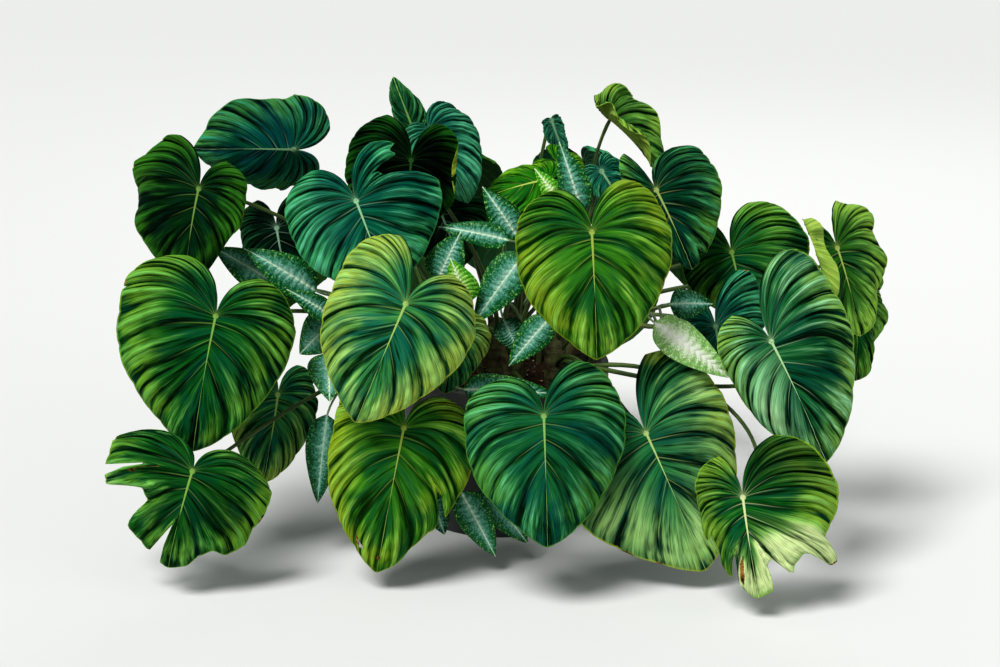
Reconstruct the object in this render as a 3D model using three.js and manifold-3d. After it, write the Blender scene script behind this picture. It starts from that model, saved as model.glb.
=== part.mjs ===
// A heart-leaved, ribbed philodendron in a plain round pot, with a silver-marked aglaonema growing
// through it. Millimetres, +Z up. The origin is the centre of the pot's flat base, and the plant's
// best side faces -Y.
import * as THREE from "three";
import { mergeVertices } from "three/addons/utils/BufferGeometryUtils.js";
import Module from "manifold-3d";

const wasm = await Module();
wasm.setup();

// ---- Driving sizes ------------------------------------------------------------------------------

const POT = {
  height: 285,
  baseRadius: 148,
  rimRadius: 196,
  wall: 8,
  floor: 12,
  bandHeight: 34,
  bandProud: 5,
  sides: 24,
};
const SOIL = { top: 258, mound: 12, clearance: 0.4 };
const CROWN = {
  radius: 21,
  scar: 2.5,
  tipRadius: 11,
  foot: 222,
  shoulder: 342,
  top: 358,
  rings: 3,
  sides: 7,
};
const PETIOLE = {
  footRadius: 4.8,
  neckRadius: 3.2,
  sides: 5,
  steps: 6,
  rootDepth: 11,
  slack: 0.5,
  setBack: 0.6,
};
const CANE = { footRadius: 6, tipRadius: 4, sides: 6, steps: 7, depth: 44, upright: 14, slack: 0.5 };
const STALK = { radius: 2.4, sides: 4, steps: 2, reach: 0.3, rise: 0.25, overlap: 8 };
// The plain hole for the foot of a rod: the rod's lowest corner stands this gap above its floor, and its
// reach is a share of the crown's radius, or of the cane's depth in the soil.
const HOLE = { sides: 5, gap: 0.3, crownReach: 1.6, soilReach: 2 };
// The ribs' relief: how round they are, where along a vein they are full, and how far the wave of the
// left margin is shifted against the right one's.
const RELIEF = { roundness: 0.8, full: 0.85, shift: 0.37 };
// The shortest that a tear leaves a vein.
const TORN_LEAST = 0.12;

// Where each crown stands in the soil.
const CROWNS = {
  west: [-128, 14],
  front_west: [-74, -70],
  middle: [-6, 26],
  front: [22, -84],
  back: [24, 122],
  front_east: [98, -52],
  east: [128, 40],
};

const degrees = THREE.MathUtils.degToRad;
const vector = (list) => new THREE.Vector3(...list);

// ---- Solids -------------------------------------------------------------------------------------

// A closed geometry as a solid that can be joined and cut.
function solidOf(geometry) {
  const bare = geometry.index ? geometry.toNonIndexed() : geometry.clone();
  bare.deleteAttribute("normal");
  bare.deleteAttribute("uv");
  const merged = mergeVertices(bare, 1e-4);
  const corners = merged.index.array;
  const kept = [];
  for (let i = 0; i < corners.length; i += 3) {
    const [a, b, c] = corners.slice(i, i + 3);
    if (a !== b && b !== c && a !== c) kept.push(a, b, c);
  }
  const vertProperties = merged.attributes.position.array;
  const triVerts = new Uint32Array(kept);
  return new wasm.Manifold(new wasm.Mesh({ numProp: 3, vertProperties, triVerts }));
}

// A solid as a geometry for a mesh.
function geometryOf(solid) {
  const made = solid.getMesh();
  const geometry = new THREE.BufferGeometry();
  geometry.setAttribute("position", new THREE.BufferAttribute(made.vertProperties, 3));
  geometry.setIndex(new THREE.BufferAttribute(made.triVerts, 1));
  geometry.computeVertexNormals();
  return geometry;
}

// A rod of flat sides along a curve, which tapers from its first radius to its last.
function rod(curve, first, last, sides, steps) {
  const section = new THREE.Shape();
  for (let i = 0; i < sides; i++) {
    const angle = (i / sides) * 2 * Math.PI;
    const corner = [first * Math.cos(angle), first * Math.sin(angle)];
    if (i) section.lineTo(...corner);
    else section.moveTo(...corner);
  }
  const made = new THREE.ExtrudeGeometry(section, { steps, extrudePath: curve, bevelEnabled: false });
  const centres = curve.getSpacedPoints(steps);
  const places = made.getAttribute("position");
  const point = new THREE.Vector3();
  for (let i = 0; i < places.count; i++) {
    point.fromBufferAttribute(places, i);
    const gaps = centres.map((c) => c.distanceTo(point));
    const nearest = gaps.indexOf(Math.min(...gaps));
    const taper = 1 + ((last / first - 1) * nearest) / steps;
    point.sub(centres[nearest]).multiplyScalar(taper).add(centres[nearest]);
    places.setXYZ(i, point.x, point.y, point.z);
  }
  return made;
}

// The plain hole that takes the foot of a rod: as straight as the rod's first step, wider by the slack,
// and just deep enough for the foot, whose end leans against the hole's floor.
function footHole(curve, steps, foot, slack, reach) {
  const start = curve.getPoint(0);
  const way = curve.getPointAt(1 / steps).sub(start).normalize();
  const end = start.clone().addScaledVector(way, reach);
  const lean = way.angleTo(curve.getTangentAt(0));
  start.addScaledVector(way, -HOLE.gap - foot * Math.sin(lean));
  const radius = (foot + slack) / Math.cos(Math.PI / HOLE.sides);
  return solidOf(rod(new THREE.LineCurve3(start, end), radius, radius, HOLE.sides, 1));
}

// ---- Leaf blades --------------------------------------------------------------------------------

// Where the veins of a heart-shaped half blade end, from the tip round to the top of the lobe, and the
// angle from the midrib at which each one leaves: along (of the length, or of the lobe where it is
// negative), across (of the half width), launch (degrees).
const HEART = [
  [1.0, 0.0, 0],
  [0.86, 0.34, 36],
  [0.66, 0.66, 60],
  [0.42, 0.88, 82],
  [0.16, 0.98, 104],
  [-0.14, 0.97, 126],
  [-0.56, 0.87, 146],
  [-0.9, 0.65, 164],
  [-1.0, 0.38, 177],
];
// The same for a spear-shaped blade, whose veins all leave a midrib that runs its whole length.
const SPEAR = [
  [1.0, 0.0, 0],
  [0.84, 0.36, 26],
  [0.66, 0.68, 30],
  [0.46, 0.93, 36],
  [0.26, 1.0, 44],
  [0.09, 0.74, 60],
  [0.0, 0.0, 80],
];
const HEART_FORM = { fork: 0.5, reach: 0.5, ease: 1.6, bow: 0.62 };
const SPEAR_FORM = { fork: 1, reach: 0.9, ease: 1, bow: 0.4 };

const edgeCurve = (knots) => new THREE.CatmullRomCurve3(knots.map(vector), false, "catmullrom", 0.5);
HEART_FORM.edge = edgeCurve(HEART);
SPEAR_FORM.edge = edgeCurve(SPEAR);

// How far along its vein a torn blade still reaches, at the signed vein place x.
function tornReach(tears, x) {
  let reach = 1;
  for (const [place, depth, width] of tears) {
    reach -= depth * Math.max(0, 1 - Math.abs(x - place) / width);
  }
  return Math.max(TORN_LEAST, reach);
}

// A point of the flat blade: x is the vein's place, -1 to 1 with the midrib at 0, and u runs out along
// the vein.
function flatPoint(leaf, form, x, u) {
  const side = x < 0 ? 0 : 1;
  const v = Math.abs(x);
  const end = form.edge.getPoint(v);
  const along = end.x * (end.x < 0 ? leaf.lobes[side] : leaf.length);
  const across = end.y * leaf.half[side] + leaf.splay[side] * Math.max(0, -along);
  const start = leaf.length * form.reach * Math.max(0, 1 - v / form.fork) ** form.ease;
  const span = form.bow * Math.hypot(along - start, across);
  const turn = degrees(end.z);
  const t = u * tornReach(leaf.tears, x);
  const bezier = (a, b, c) => (1 - t) * (1 - t) * a + 2 * t * (1 - t) * b + t * t * c;
  return [
    (side ? 1 : -1) * bezier(0, span * Math.sin(turn), across),
    -bezier(start, start + span * Math.cos(turn), along),
  ];
}

// How high the blade stands above its flat form: a rounded rib between each two veins, and a waved
// margin.
function relief(leaf, x, u) {
  const rib = Math.abs(Math.sin(Math.PI * Math.abs(x) * leaf.ribs)) ** RELIEF.roundness;
  const swell = Math.sin(Math.min(1, u / RELIEF.full) * (Math.PI / 2));
  const shift = leaf.phase + (x < 0 ? RELIEF.shift : 0);
  const wave = Math.sin(2 * Math.PI * (leaf.waves * Math.abs(x) + shift));
  return leaf.ribHeight * rib * swell + leaf.wave * wave * u * u;
}

// Bends the blade: each half folds back about the midrib and curls, and the midrib nods at the tip and
// at the lobes.
function bend(leaf, across, along, height) {
  const side = across < 0 ? 0 : 1;
  const out = Math.abs(across);
  const curl = degrees(leaf.curl[side]) / leaf.half[side];
  const lean = degrees(leaf.fold[side]);
  const arc = curl * out;
  const flatOut = Math.abs(curl) > 1e-6 ? Math.sin(arc) / curl : out;
  const flatBack = Math.abs(curl) > 1e-6 ? (1 - Math.cos(arc)) / curl : 0;
  const rise = height * Math.cos(arc);
  const shift = height * Math.sin(arc);
  const x = (flatOut + shift) * Math.cos(lean) - (flatBack - rise) * Math.sin(lean);
  const back = (flatOut + shift) * Math.sin(lean) + (flatBack - rise) * Math.cos(lean);
  const down = along < 0;
  const nod = degrees(down ? leaf.nod : leaf.tuck) / (down ? leaf.length : Math.max(...leaf.lobes, 1));
  const pitch = nod * Math.abs(along);
  const run = Math.abs(nod) > 1e-6 ? Math.sin(pitch) / nod : Math.abs(along);
  const drop = Math.abs(nod) > 1e-6 ? (1 - Math.cos(pitch)) / nod : 0;
  const spin = degrees(leaf.twist) * (along / leaf.length);
  const sideways = (side ? 1 : -1) * x;
  const turnedX = sideways * Math.cos(spin) - back * Math.sin(spin);
  const turnedBack = sideways * Math.sin(spin) + back * Math.cos(spin);
  const way = down ? -1 : 1;
  return [turnedX, way * (run - turnedBack * Math.sin(pitch)), -drop - turnedBack * Math.cos(pitch)];
}

const bladePoint = (leaf, form, x, u) => bend(leaf, ...flatPoint(leaf, form, x, u), relief(leaf, x, u));

// A closed thin blade: a grid with a column at every vein and every rib, whose inner edge closes on the
// midrib.
function bladeGeometry(leaf, form, columns, rows) {
  const wide = 2 * columns;
  const at = (i, j) => i * (wide + 1) + j;
  const sheet = rows.flatMap((u) =>
    Array.from({ length: wide + 1 }, (_, j) => vector(bladePoint(leaf, form, j / columns - 1, u))),
  );
  const faces = [];
  for (let i = 0; i < rows.length - 1; i++)
    for (let j = 0; j < wide; j++) {
      const [a, b, c, d] = [at(i, j), at(i, j + 1), at(i + 1, j + 1), at(i + 1, j)];
      if (j < columns) faces.push([a, d, c], [a, c, b]);
      else faces.push([a, d, b], [b, d, c]);
    }
  const normals = sheet.map(() => new THREE.Vector3());
  const key = (p) => p.toArray().map((n) => n.toFixed(3)).join();
  const welded = new Map();
  sheet.forEach((p) => welded.set(key(p), new THREE.Vector3()));
  for (const [a, b, c] of faces) {
    const face = sheet[b].clone().sub(sheet[a]).cross(sheet[c].clone().sub(sheet[a]));
    for (const k of [a, b, c]) welded.get(key(sheet[k])).add(face);
  }
  sheet.forEach((p, k) => normals[k].copy(welded.get(key(p))).normalize());
  const half = leaf.thickness / 2;
  const upper = sheet.map((p, k) => p.clone().addScaledVector(normals[k], half));
  const under = sheet.map((p, k) => p.clone().addScaledVector(normals[k], -half));
  const last = rows.length - 1;
  const rim = [];
  for (let i = 0; i < last; i++) rim.push(at(i, 0));
  for (let j = 0; j < wide; j++) rim.push(at(last, j));
  for (let i = last; i >= 0; i--) rim.push(at(i, wide));
  const points = [];
  for (const [a, b, c] of faces) points.push(upper[a], upper[b], upper[c], under[a], under[c], under[b]);
  for (let k = 0; k < rim.length - 1; k++) {
    const [a, b] = [rim[k], rim[k + 1]];
    points.push(upper[a], under[a], under[b], upper[a], under[b], upper[b]);
  }
  return new THREE.BufferGeometry().setFromPoints(points);
}

// ---- Placing a leaf -----------------------------------------------------------------------------

// The turned frame of a blade: its seat is the origin, +Y runs back along the midrib and +Z out of the
// upper face.
function bladeFrame(leaf) {
  const seat = vector(leaf.seat);
  const down = vector(leaf.tip).sub(seat).normalize();
  const heading = degrees(leaf.heading);
  const outward = new THREE.Vector3(Math.sin(heading), -Math.cos(heading), Math.tan(degrees(leaf.lift)));
  const face = outward.addScaledVector(down, -outward.dot(down)).normalize();
  const back = down.clone().negate();
  const right = back.clone().cross(face);
  return new THREE.Matrix4().makeBasis(right, back, face).setPosition(seat);
}

// A blade and the stalk that holds it as one solid, in the blade's own frame.
function leafSolid(leaf, form, columns, rows, stalk) {
  const blade = solidOf(bladeGeometry(leaf, form, columns, rows));
  return blade.add(solidOf(stalk.applyMatrix4(bladeFrame(leaf).invert())));
}

// ---- Philodendron leaves ------------------------------------------------------------------------

// What a leaf doesn't state. Half widths, lobes, folds and curls are given left then right, looking at
// the upper face with the tip down. Root is the height at which the stalk leaves its crown, swing turns
// its way out, climb is how steeply it leaves, and spring, neck, hook and sway shape its arch, as shares
// of the stalk's length. Splay leans the lobes outward. A tear has its signed vein place, its depth and
// its width, and one of negative depth is a tongue.
const LEAF = {
  root: 300,
  heading: 0,
  lift: 20,
  lobes: [70, 70],
  splay: [0, 0],
  fold: [10, 10],
  curl: [26, 26],
  nod: 26,
  tuck: 22,
  twist: 0,
  wave: 3,
  waves: 2.5,
  phase: 0,
  ribs: 5,
  ribHeight: 7.5,
  rows: [0, 0.55, 1],
  thickness: 1.3,
  tears: [],
  swing: 0,
  climb: 62,
  spring: 0.42,
  neck: 0.3,
  hook: 0,
  sway: 0,
};
// A large leaf in front has one more row of its ribs, and a small or hidden leaf has fewer ribs.
const LARGE = { rows: [0, 0.42, 0.76, 1] };
const PLAINER = { ribs: 4 };

const LEAVES = {
  west_high: {
    crown: "west", root: 318,
    seat: [-501, -220, 654], tip: [-542, -262, 480], half: [158, 82], lobes: [84, 58], heading: -14,
    wave: 9, waves: 3, tears: [[-0.3, 0.12, 0.2], [0.25, 0.15, 0.22]],
  },
  northwest_flat: {
    crown: "west", root: 338, climb: 78,
    seat: [-356, -66, 687], tip: [-520, -120, 703], half: [100, 104], lobes: [70, 64], heading: -4,
    lift: 16, fold: [0, 34], curl: [14, 40], tears: [[-0.25, -0.12, 0.14], [-0.45, 0.12, 0.14]],
  },
  left_shaded: {
    ...PLAINER, crown: "west", root: 310, swing: -20,
    seat: [-392, -40, 541], tip: [-372, -80, 420], half: [84, 84], lobes: [60, 60], heading: -10,
  },
  low_left_shaded: {
    ...PLAINER, crown: "west", root: 286, climb: 50, swing: 14,
    seat: [-381, -212, 290], tip: [-400, -272, 144], half: [80, 84], lobes: [60, 60], heading: 20,
  },
  back_west: {
    ...PLAINER, crown: "west", root: 322, climb: 66, swing: -14,
    seat: [-330, 170, 480], tip: [-440, 260, 330], half: [110, 110], heading: -125,
  },
  back_left: {
    ...PLAINER, crown: "west", root: 292, swing: -10,
    seat: [-180, 290, 420], tip: [-230, 380, 240], half: [120, 120], heading: -160,
  },
  west_middle: {
    ...LARGE, crown: "front_west", root: 300, climb: 50,
    seat: [-465, -340, 469], tip: [-516, -400, 244], half: [200, 136], lobes: [96, 80], heading: -4,
  },
  upper_left: {
    ...LARGE, crown: "front_west", root: 334, climb: 78,
    seat: [-237, -260, 643], tip: [-178, -316, 500], half: [138, 150], lobes: [84, 96],
    tears: [[0.66, 0.5, 0.14], [0.82, 0.3, 0.13]],
  },
  centre_left: {
    ...LARGE, crown: "front_west", root: 320, swing: -16,
    seat: [-150, -430, 516], tip: [-236, -490, 328], half: [138, 128], lobes: [104, 76],
  },
  low_left: {
    ...LARGE, crown: "front_west", root: 292, climb: 48, swing: 10,
    seat: [-157, -400, 296], tip: [-210, -450, 38], half: [132, 130], lobes: [72, 64],
    tears: [[0.2, 0.4, 0.05]],
  },
  low_west_torn: {
    ...LARGE, crown: "front_west", root: 284, climb: 42, swing: 14,
    seat: [-504, -408, 224], tip: [-556, -456, 62], half: [180, 138], lobes: [46, 54], heading: -6,
    tears: [
      [-0.4, 0.5, 0.05], [-0.27, 0.52, 0.1], [-0.1, 0.5, 0.05], [0.15, 0.1, 0.08], [0.28, -0.1, 0.1],
    ],
  },
  hooded_dark: {
    crown: "middle", root: 322, climb: 62, swing: 46, neck: 0.12,
    seat: [-150, -150, 687], tip: [-160, -186, 560], half: [134, 80], lobes: [84, 66], fold: [16, -10],
    curl: [26, -10],
  },
  top_teal: {
    crown: "middle", root: 338, climb: 84, swing: -10,
    seat: [-121, -40, 715], tip: [-48, -96, 604], half: [56, 88], lobes: [30, 46], heading: 14,
  },
  young_spear: {
    ...PLAINER, crown: "middle", root: 330, climb: 82, swing: -50,
    seat: [-148, -12, 702], tip: [-184, -30, 803], half: [34, 30], lobes: [12, 12], lift: 10,
    fold: [20, 20], curl: [30, 30],
  },
  centre_shaded: {
    ...PLAINER, crown: "front_west", root: 342, climb: 84, swing: -20,
    seat: [-104, -34, 568], tip: [-66, -76, 480], half: [80, 84], lobes: [60, 60],
  },
  top_lime: {
    crown: "middle", root: 336, climb: 80,
    seat: [82, 30, 611], tip: [-44, 4, 594], half: [60, 60], lobes: [50, 50], lift: 50,
  },
  back_high_left: {
    ...PLAINER, crown: "middle", root: 312, climb: 74,
    seat: [-90, 200, 600], tip: [-130, 300, 492], half: [100, 100], heading: -165,
  },
  behind_centre: {
    ...PLAINER, crown: "front", root: 312, swing: 14,
    seat: [-72, -326, 440], tip: [-90, -350, 332], half: [66, 66], lobes: [34, 34], heading: 10,
  },
  low_centre: {
    ...LARGE, crown: "front", root: 292, climb: 14, neck: 0.34,
    seat: [70, -470, 341], tip: [78, -530, 124], half: [142, 144], lobes: [66, 92],
  },
  centre_bright: {
    ...LARGE, crown: "front", root: 332, climb: 74, swing: 10,
    seat: [146, -400, 626], tip: [157, -460, 422], half: [134, 142], lobes: [78, 88],
  },
  top_rolled: {
    ...PLAINER, crown: "back", root: 342, climb: 84, swing: -50,
    seat: [94, 160, 692], tip: [120, 150, 622], half: [24, 24], lobes: [8, 8], fold: [30, 30],
    curl: [40, 40],
  },
  top_middle: {
    ...PLAINER, crown: "back", root: 324, climb: 76, swing: -70,
    seat: [110, 106, 622], tip: [156, 82, 594], half: [50, 50], lobes: [50, 50], lift: 50,
  },
  back_middle: {
    ...PLAINER, crown: "back", root: 300, swing: 20,
    seat: [10, 330, 500], tip: [10, 430, 330], half: [125, 125], heading: 180,
  },
  back_right: {
    ...PLAINER, crown: "back", root: 288,
    seat: [200, 290, 400], tip: [250, 390, 220], half: [120, 120], heading: 160,
  },
  back_high_right: {
    ...PLAINER, crown: "back", root: 316, climb: 74,
    seat: [156, 232, 598], tip: [214, 320, 468], half: [104, 104], heading: 160,
  },
  low_right: {
    ...LARGE, crown: "front_east", root: 292, climb: 48, swing: -12,
    seat: [240, -380, 280], tip: [352, -440, 48], half: [190, 164], lobes: [84, 124], heading: 4,
  },
  low_east_torn: {
    ...LARGE, crown: "front_east", root: 280, climb: 20, swing: 46, hook: 0.14, sway: 0.17,
    seat: [390, -490, 210], tip: [412, -540, 46], half: [86, 160], lobes: [72, 100], heading: -14,
    tears: [[0.1, 0.42, 0.06], [0.2, 0.12, 0.06], [0.3, -0.2, 0.08], [-0.2, 0.4, 0.06]],
  },
  right_teal: {
    crown: "front_east", root: 318,
    seat: [363, -244, 422], tip: [376, -258, 350], half: [62, 102], lobes: [60, 88], heading: 4,
    splay: [0, 0.25], tuck: 8,
  },
  east_middle: {
    ...LARGE, crown: "front_east", root: 304, climb: 0, swing: 8, neck: 0.12, hook: -0.28,
    seat: [440, -380, 438], tip: [549, -430, 238], half: [90, 162], lobes: [68, 132], heading: 8,
    splay: [0, 0.3],
  },
  upper_right: {
    crown: "front_east", root: 336, climb: 78, swing: -20,
    seat: [260, -220, 652], tip: [326, -272, 530], half: [46, 128], lobes: [86, 60], heading: 8,
    splay: [0, 0.4],
  },
  top_tall: {
    crown: "east", root: 334, climb: 86, swing: 10,
    seat: [194, 50, 714], tip: [290, 4, 646], half: [52, 80], lobes: [30, 52], heading: 44, lift: 36,
    fold: [-62, -22], curl: [10, 10], wave: 9, waves: 3,
  },
  top_small: {
    ...PLAINER, crown: "east", root: 342, climb: 86, swing: -95,
    seat: [180, 20, 629], tip: [214, -8, 582], half: [40, 40], lobes: [30, 30],
  },
  right_round: {
    crown: "east", root: 318, climb: 66, swing: -12,
    seat: [395, -160, 529], tip: [424, -205, 420], half: [92, 150], lobes: [78, 86], heading: 6,
    curl: [26, 10],
  },
  east_high: {
    crown: "east", root: 306, climb: 56, hook: -0.15,
    seat: [573, -170, 539], tip: [624, -218, 396], half: [44, 104], lobes: [62, 86], heading: 12,
    fold: [-6, 14], curl: [-10, 24], wave: 9, waves: 3, splay: [0.3, 0],
  },
  east_low: {
    crown: "east", root: 288, climb: 46, swing: 10,
    seat: [618, -90, 424], tip: [640, -130, 286], half: [80, 92], lobes: [64, 64], heading: 26,
    wave: 9, waves: 3,
  },
  back_east: {
    ...PLAINER, crown: "east", root: 300, swing: 10,
    seat: [360, 180, 470], tip: [470, 260, 310], half: [110, 110], heading: 125,
  },
};

// The leaf stalk: out of its crown at the root's height, up in an arch, and into the back of the blade.
function petioleCurve(leaf) {
  const frame = bladeFrame(leaf);
  const face = new THREE.Vector3().setFromMatrixColumn(frame, 2);
  const back = new THREE.Vector3().setFromMatrixColumn(frame, 1);
  const right = new THREE.Vector3().setFromMatrixColumn(frame, 0);
  const seat = vector(leaf.seat);
  const [x, y] = CROWNS[leaf.crown];
  const away = new THREE.Vector3(seat.x - x, seat.y - y, 0);
  const length = Math.hypot(away.length(), seat.z - leaf.root);
  away.normalize().applyAxisAngle(new THREE.Vector3(0, 0, 1), degrees(leaf.swing));
  const root = new THREE.Vector3(x, y, leaf.root).addScaledVector(away, CROWN.radius - PETIOLE.rootDepth);
  const climb = degrees(leaf.climb);
  const leave = away.clone().multiplyScalar(Math.cos(climb)).setZ(Math.sin(climb));
  const first = root.clone().addScaledVector(leave, leaf.spring * length);
  const second = seat.clone().addScaledVector(face, -leaf.neck * length);
  second.addScaledVector(back, leaf.hook * length).addScaledVector(right, leaf.sway * length);
  const end = seat.clone().addScaledVector(face, -PETIOLE.setBack);
  return new THREE.CubicBezierCurve3(root, first, second, end);
}

const sized = (leaf) => ({ ...leaf, length: vector(leaf.seat).distanceTo(vector(leaf.tip)) });
const leaves = Object.entries(LEAVES).map(([name, given]) => sized({ ...LEAF, ...given, name }));

function petioledLeaf(leaf) {
  const { footRadius, neckRadius, sides, steps } = PETIOLE;
  const stalk = rod(petioleCurve(leaf), footRadius, neckRadius, sides, steps);
  return leafSolid(leaf, HEART_FORM, leaf.ribs * 2, leaf.rows, stalk);
}

// ---- Aglaonema canes ----------------------------------------------------------------------------

// What a spotted leaf doesn't state.
const SPOTTED = {
  heading: 0,
  lift: 30,
  lobes: [1, 1],
  splay: [0, 0],
  fold: [-12, -12],
  curl: [30, 30],
  nod: 30,
  tuck: 0,
  twist: 0,
  wave: 0,
  waves: 1,
  phase: 0,
  ribs: 1,
  ribHeight: 0,
  columns: 3,
  rows: [0, 1],
  thickness: 1.3,
  tears: [],
};

// Each cane's way up from the soil, and its leaves: where on the cane the leaf's stalk leaves it, where
// the blade starts, where its tip is, and its half width.
const CANES = {
  west: {
    way: [[-112, -58], [-128, -80, 330], [-196, -118, 392], [-262, -160, 432]],
    leaves: [
      { from: 0.95, seat: [-390, -170, 480], tip: [-477, -200, 550], half: 32 },
      { from: 0.88, seat: [-312, -196, 470], tip: [-419, -235, 558], half: 34 },
      { from: 0.8, seat: [-285, -215, 432], tip: [-349, -250, 489], half: 20 },
      { from: 0.7, seat: [-285, -150, 405], tip: [-352, -170, 350], half: 38 },
    ],
  },
  low_west: {
    way: [[-60, -124], [-100, -150, 320], [-180, -195, 340], [-250, -215, 345]],
    leaves: [
      { from: 0.97, seat: [-290, -232, 372], tip: [-286, -310, 322], half: 36 },
      { from: 0.85, seat: [-294, -250, 268], tip: [-317, -290, 107], half: 30 },
    ],
  },
  centre: {
    way: [[-30, -116], [-38, -130, 330], [-46, -162, 400], [-54, -184, 448]],
    leaves: [
      { from: 1, seat: [-104, -230, 500], tip: [-70, -245, 584], half: 34 },
      { from: 1, seat: [-54, -270, 470], tip: [-78, -288, 547], half: 28 },
      { from: 0.4, seat: [-60, -340, 342], tip: [92, -362, 350], half: 28 },
    ],
  },
  centre_high: {
    way: [[40, -20], [40, -50, 360], [44, -95, 460], [50, -105, 540]],
    leaves: [
      { from: 0.9, seat: [40, -240, 547], tip: [-50, -286, 440], half: 36 },
      { from: 0.45, seat: [6, -230, 430], tip: [32, -258, 382], half: 26 },
      { from: 0.6, seat: [84, -250, 439], tip: [10, -285, 366], half: 28 },
      { from: 0.85, seat: [15, -200, 560], tip: [-100, -225, 598], half: 22 },
      { from: 0.95, seat: [30, -150, 552], tip: [-24, -165, 644], half: 28 },
      { from: 0.98, seat: [103, -120, 606], tip: [63, -130, 668], half: 18 },
      { from: 1, seat: [140, -125, 590], tip: [105, -135, 713], half: 28 },
    ],
  },
  east: {
    way: [[160, -30], [172, -52, 330], [222, -125, 385], [275, -190, 405]],
    leaves: [
      { from: 1, seat: [282, -282, 472], tip: [354, -292, 480], half: 26 },
      { from: 0.96, seat: [255, -300, 446], tip: [389, -340, 366], half: 34 },
    ],
  },
  front: {
    way: [[10, -134], [6, -165, 300], [-20, -225, 290], [-50, -262, 236]],
    leaves: [
      { from: 0.95, seat: [-66, -310, 150], tip: [-2, -346, 40], half: 30 },
      { from: 0.85, seat: [-30, -272, 146], tip: [56, -300, 46], half: 32 },
      { from: 1, seat: [-119, -290, 140], tip: [-92, -315, 70], half: 24 },
    ],
  },
  back: {
    way: [[72, 96], [72, 130, 340], [56, 180, 400], [44, 205, 430]],
    leaves: [
      { from: 0.97, seat: [22, 230, 474], tip: [4, 262, 544], half: 24, heading: 180 },
      { from: 1, seat: [50, 236, 486], tip: [42, 266, 556], half: 24, heading: 180 },
    ],
  },
};

function caneCurve(cane) {
  const [[x, y], ...rest] = cane.way;
  const heights = [-CANE.depth, -CANE.depth / 2, CANE.upright];
  const foot = heights.map((height) => [x, y, SOIL.top + height]);
  return new THREE.CatmullRomCurve3([...foot, ...rest].map(vector));
}

function caneSolid(cane) {
  const curve = caneCurve(cane);
  let made = solidOf(rod(curve, CANE.footRadius, CANE.tipRadius, CANE.sides, CANE.steps));
  for (const given of cane.leaves) {
    const leaf = sized({ ...SPOTTED, ...given, half: [given.half, given.half] });
    const frame = bladeFrame(leaf);
    const start = curve.getPointAt(given.from);
    const leave = vector(leaf.seat).sub(start);
    const length = leave.length();
    const back = new THREE.Vector3().setFromMatrixColumn(frame, 1);
    const first = start.clone().addScaledVector(leave, STALK.reach);
    first.z += STALK.rise * length;
    const second = vector(leaf.seat).addScaledVector(back, STALK.reach * length);
    const end = vector(leaf.seat).addScaledVector(back, -STALK.overlap);
    const path = new THREE.CubicBezierCurve3(start, first, second, end);
    const stalk = rod(path, STALK.radius, STALK.radius, STALK.sides, STALK.steps);
    const solid = leafSolid(leaf, SPEAR_FORM, SPOTTED.columns, SPOTTED.rows, stalk);
    made = made.add(solid.transform(frame.elements));
  }
  return made;
}

// ---- Pot, soil and crowns -----------------------------------------------------------------------

function turned(profile, sides) {
  const lathe = new THREE.LatheGeometry(profile.map(([r, z]) => new THREE.Vector2(r, z)), sides);
  return solidOf(lathe.rotateX(Math.PI / 2));
}

const { lerp } = THREE.MathUtils;
const potOuter = (z) => lerp(POT.baseRadius, POT.rimRadius - POT.bandProud, z / POT.height);
const potInner = (z) => potOuter(z) - POT.wall;

function potSolid() {
  const band = POT.height - POT.bandHeight;
  return turned(
    [
      [0, 0],
      [POT.baseRadius, 0],
      [potOuter(band), band],
      [POT.rimRadius, band + POT.bandProud],
      [POT.rimRadius, POT.height],
      [potInner(POT.height), POT.height],
      [potInner(POT.floor), POT.floor],
      [0, POT.floor],
    ],
    POT.sides,
  );
}

// A crown is a stub ringed by old leaf scars, narrower at its growing top, with a socket for each leaf
// stalk.
function crownSolid(name) {
  const profile = [[0, CROWN.foot]];
  for (let i = 0; i <= CROWN.rings; i++) {
    const z = lerp(CROWN.foot, CROWN.shoulder, i / CROWN.rings);
    profile.push([CROWN.radius - (i % 2 ? CROWN.scar : 0), z]);
  }
  profile.push([CROWN.tipRadius, CROWN.top], [0, CROWN.top]);
  const [x, y] = CROWNS[name];
  let made = turned(profile, CROWN.sides).translate([x, y, 0]);
  const { steps, footRadius, slack } = PETIOLE;
  const reach = CROWN.radius * HOLE.crownReach;
  for (const leaf of leaves.filter((one) => one.crown === name)) {
    made = made.subtract(footHole(petioleCurve(leaf), steps, footRadius, slack, reach));
  }
  return made;
}

// The soil fills the pot to just under its rim, and has a plain hole for each crown and cane.
function soilSolid() {
  const gap = SOIL.clearance;
  const [low, edge] = [POT.floor + gap, SOIL.top - SOIL.mound];
  const [lowRadius, edgeRadius] = [potInner(low) - gap, potInner(edge) - gap];
  let made = turned([[0, low], [lowRadius, low], [edgeRadius, edge], [0, SOIL.top]], POT.sides);
  const [bottom, radius] = [CROWN.foot - gap, CROWN.radius + gap];
  const hole = turned([[0, bottom], [radius, bottom], [radius, CROWN.top], [0, CROWN.top]], CROWN.sides);
  for (const [x, y] of Object.values(CROWNS)) made = made.subtract(hole.translate([x, y, 0]));
  const { steps, footRadius, slack } = CANE;
  const reach = CANE.depth * HOLE.soilReach;
  for (const cane of Object.values(CANES)) {
    made = made.subtract(footHole(caneCurve(cane), steps, footRadius, slack, reach));
  }
  return made;
}

// ---- The whole plant ----------------------------------------------------------------------------

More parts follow.
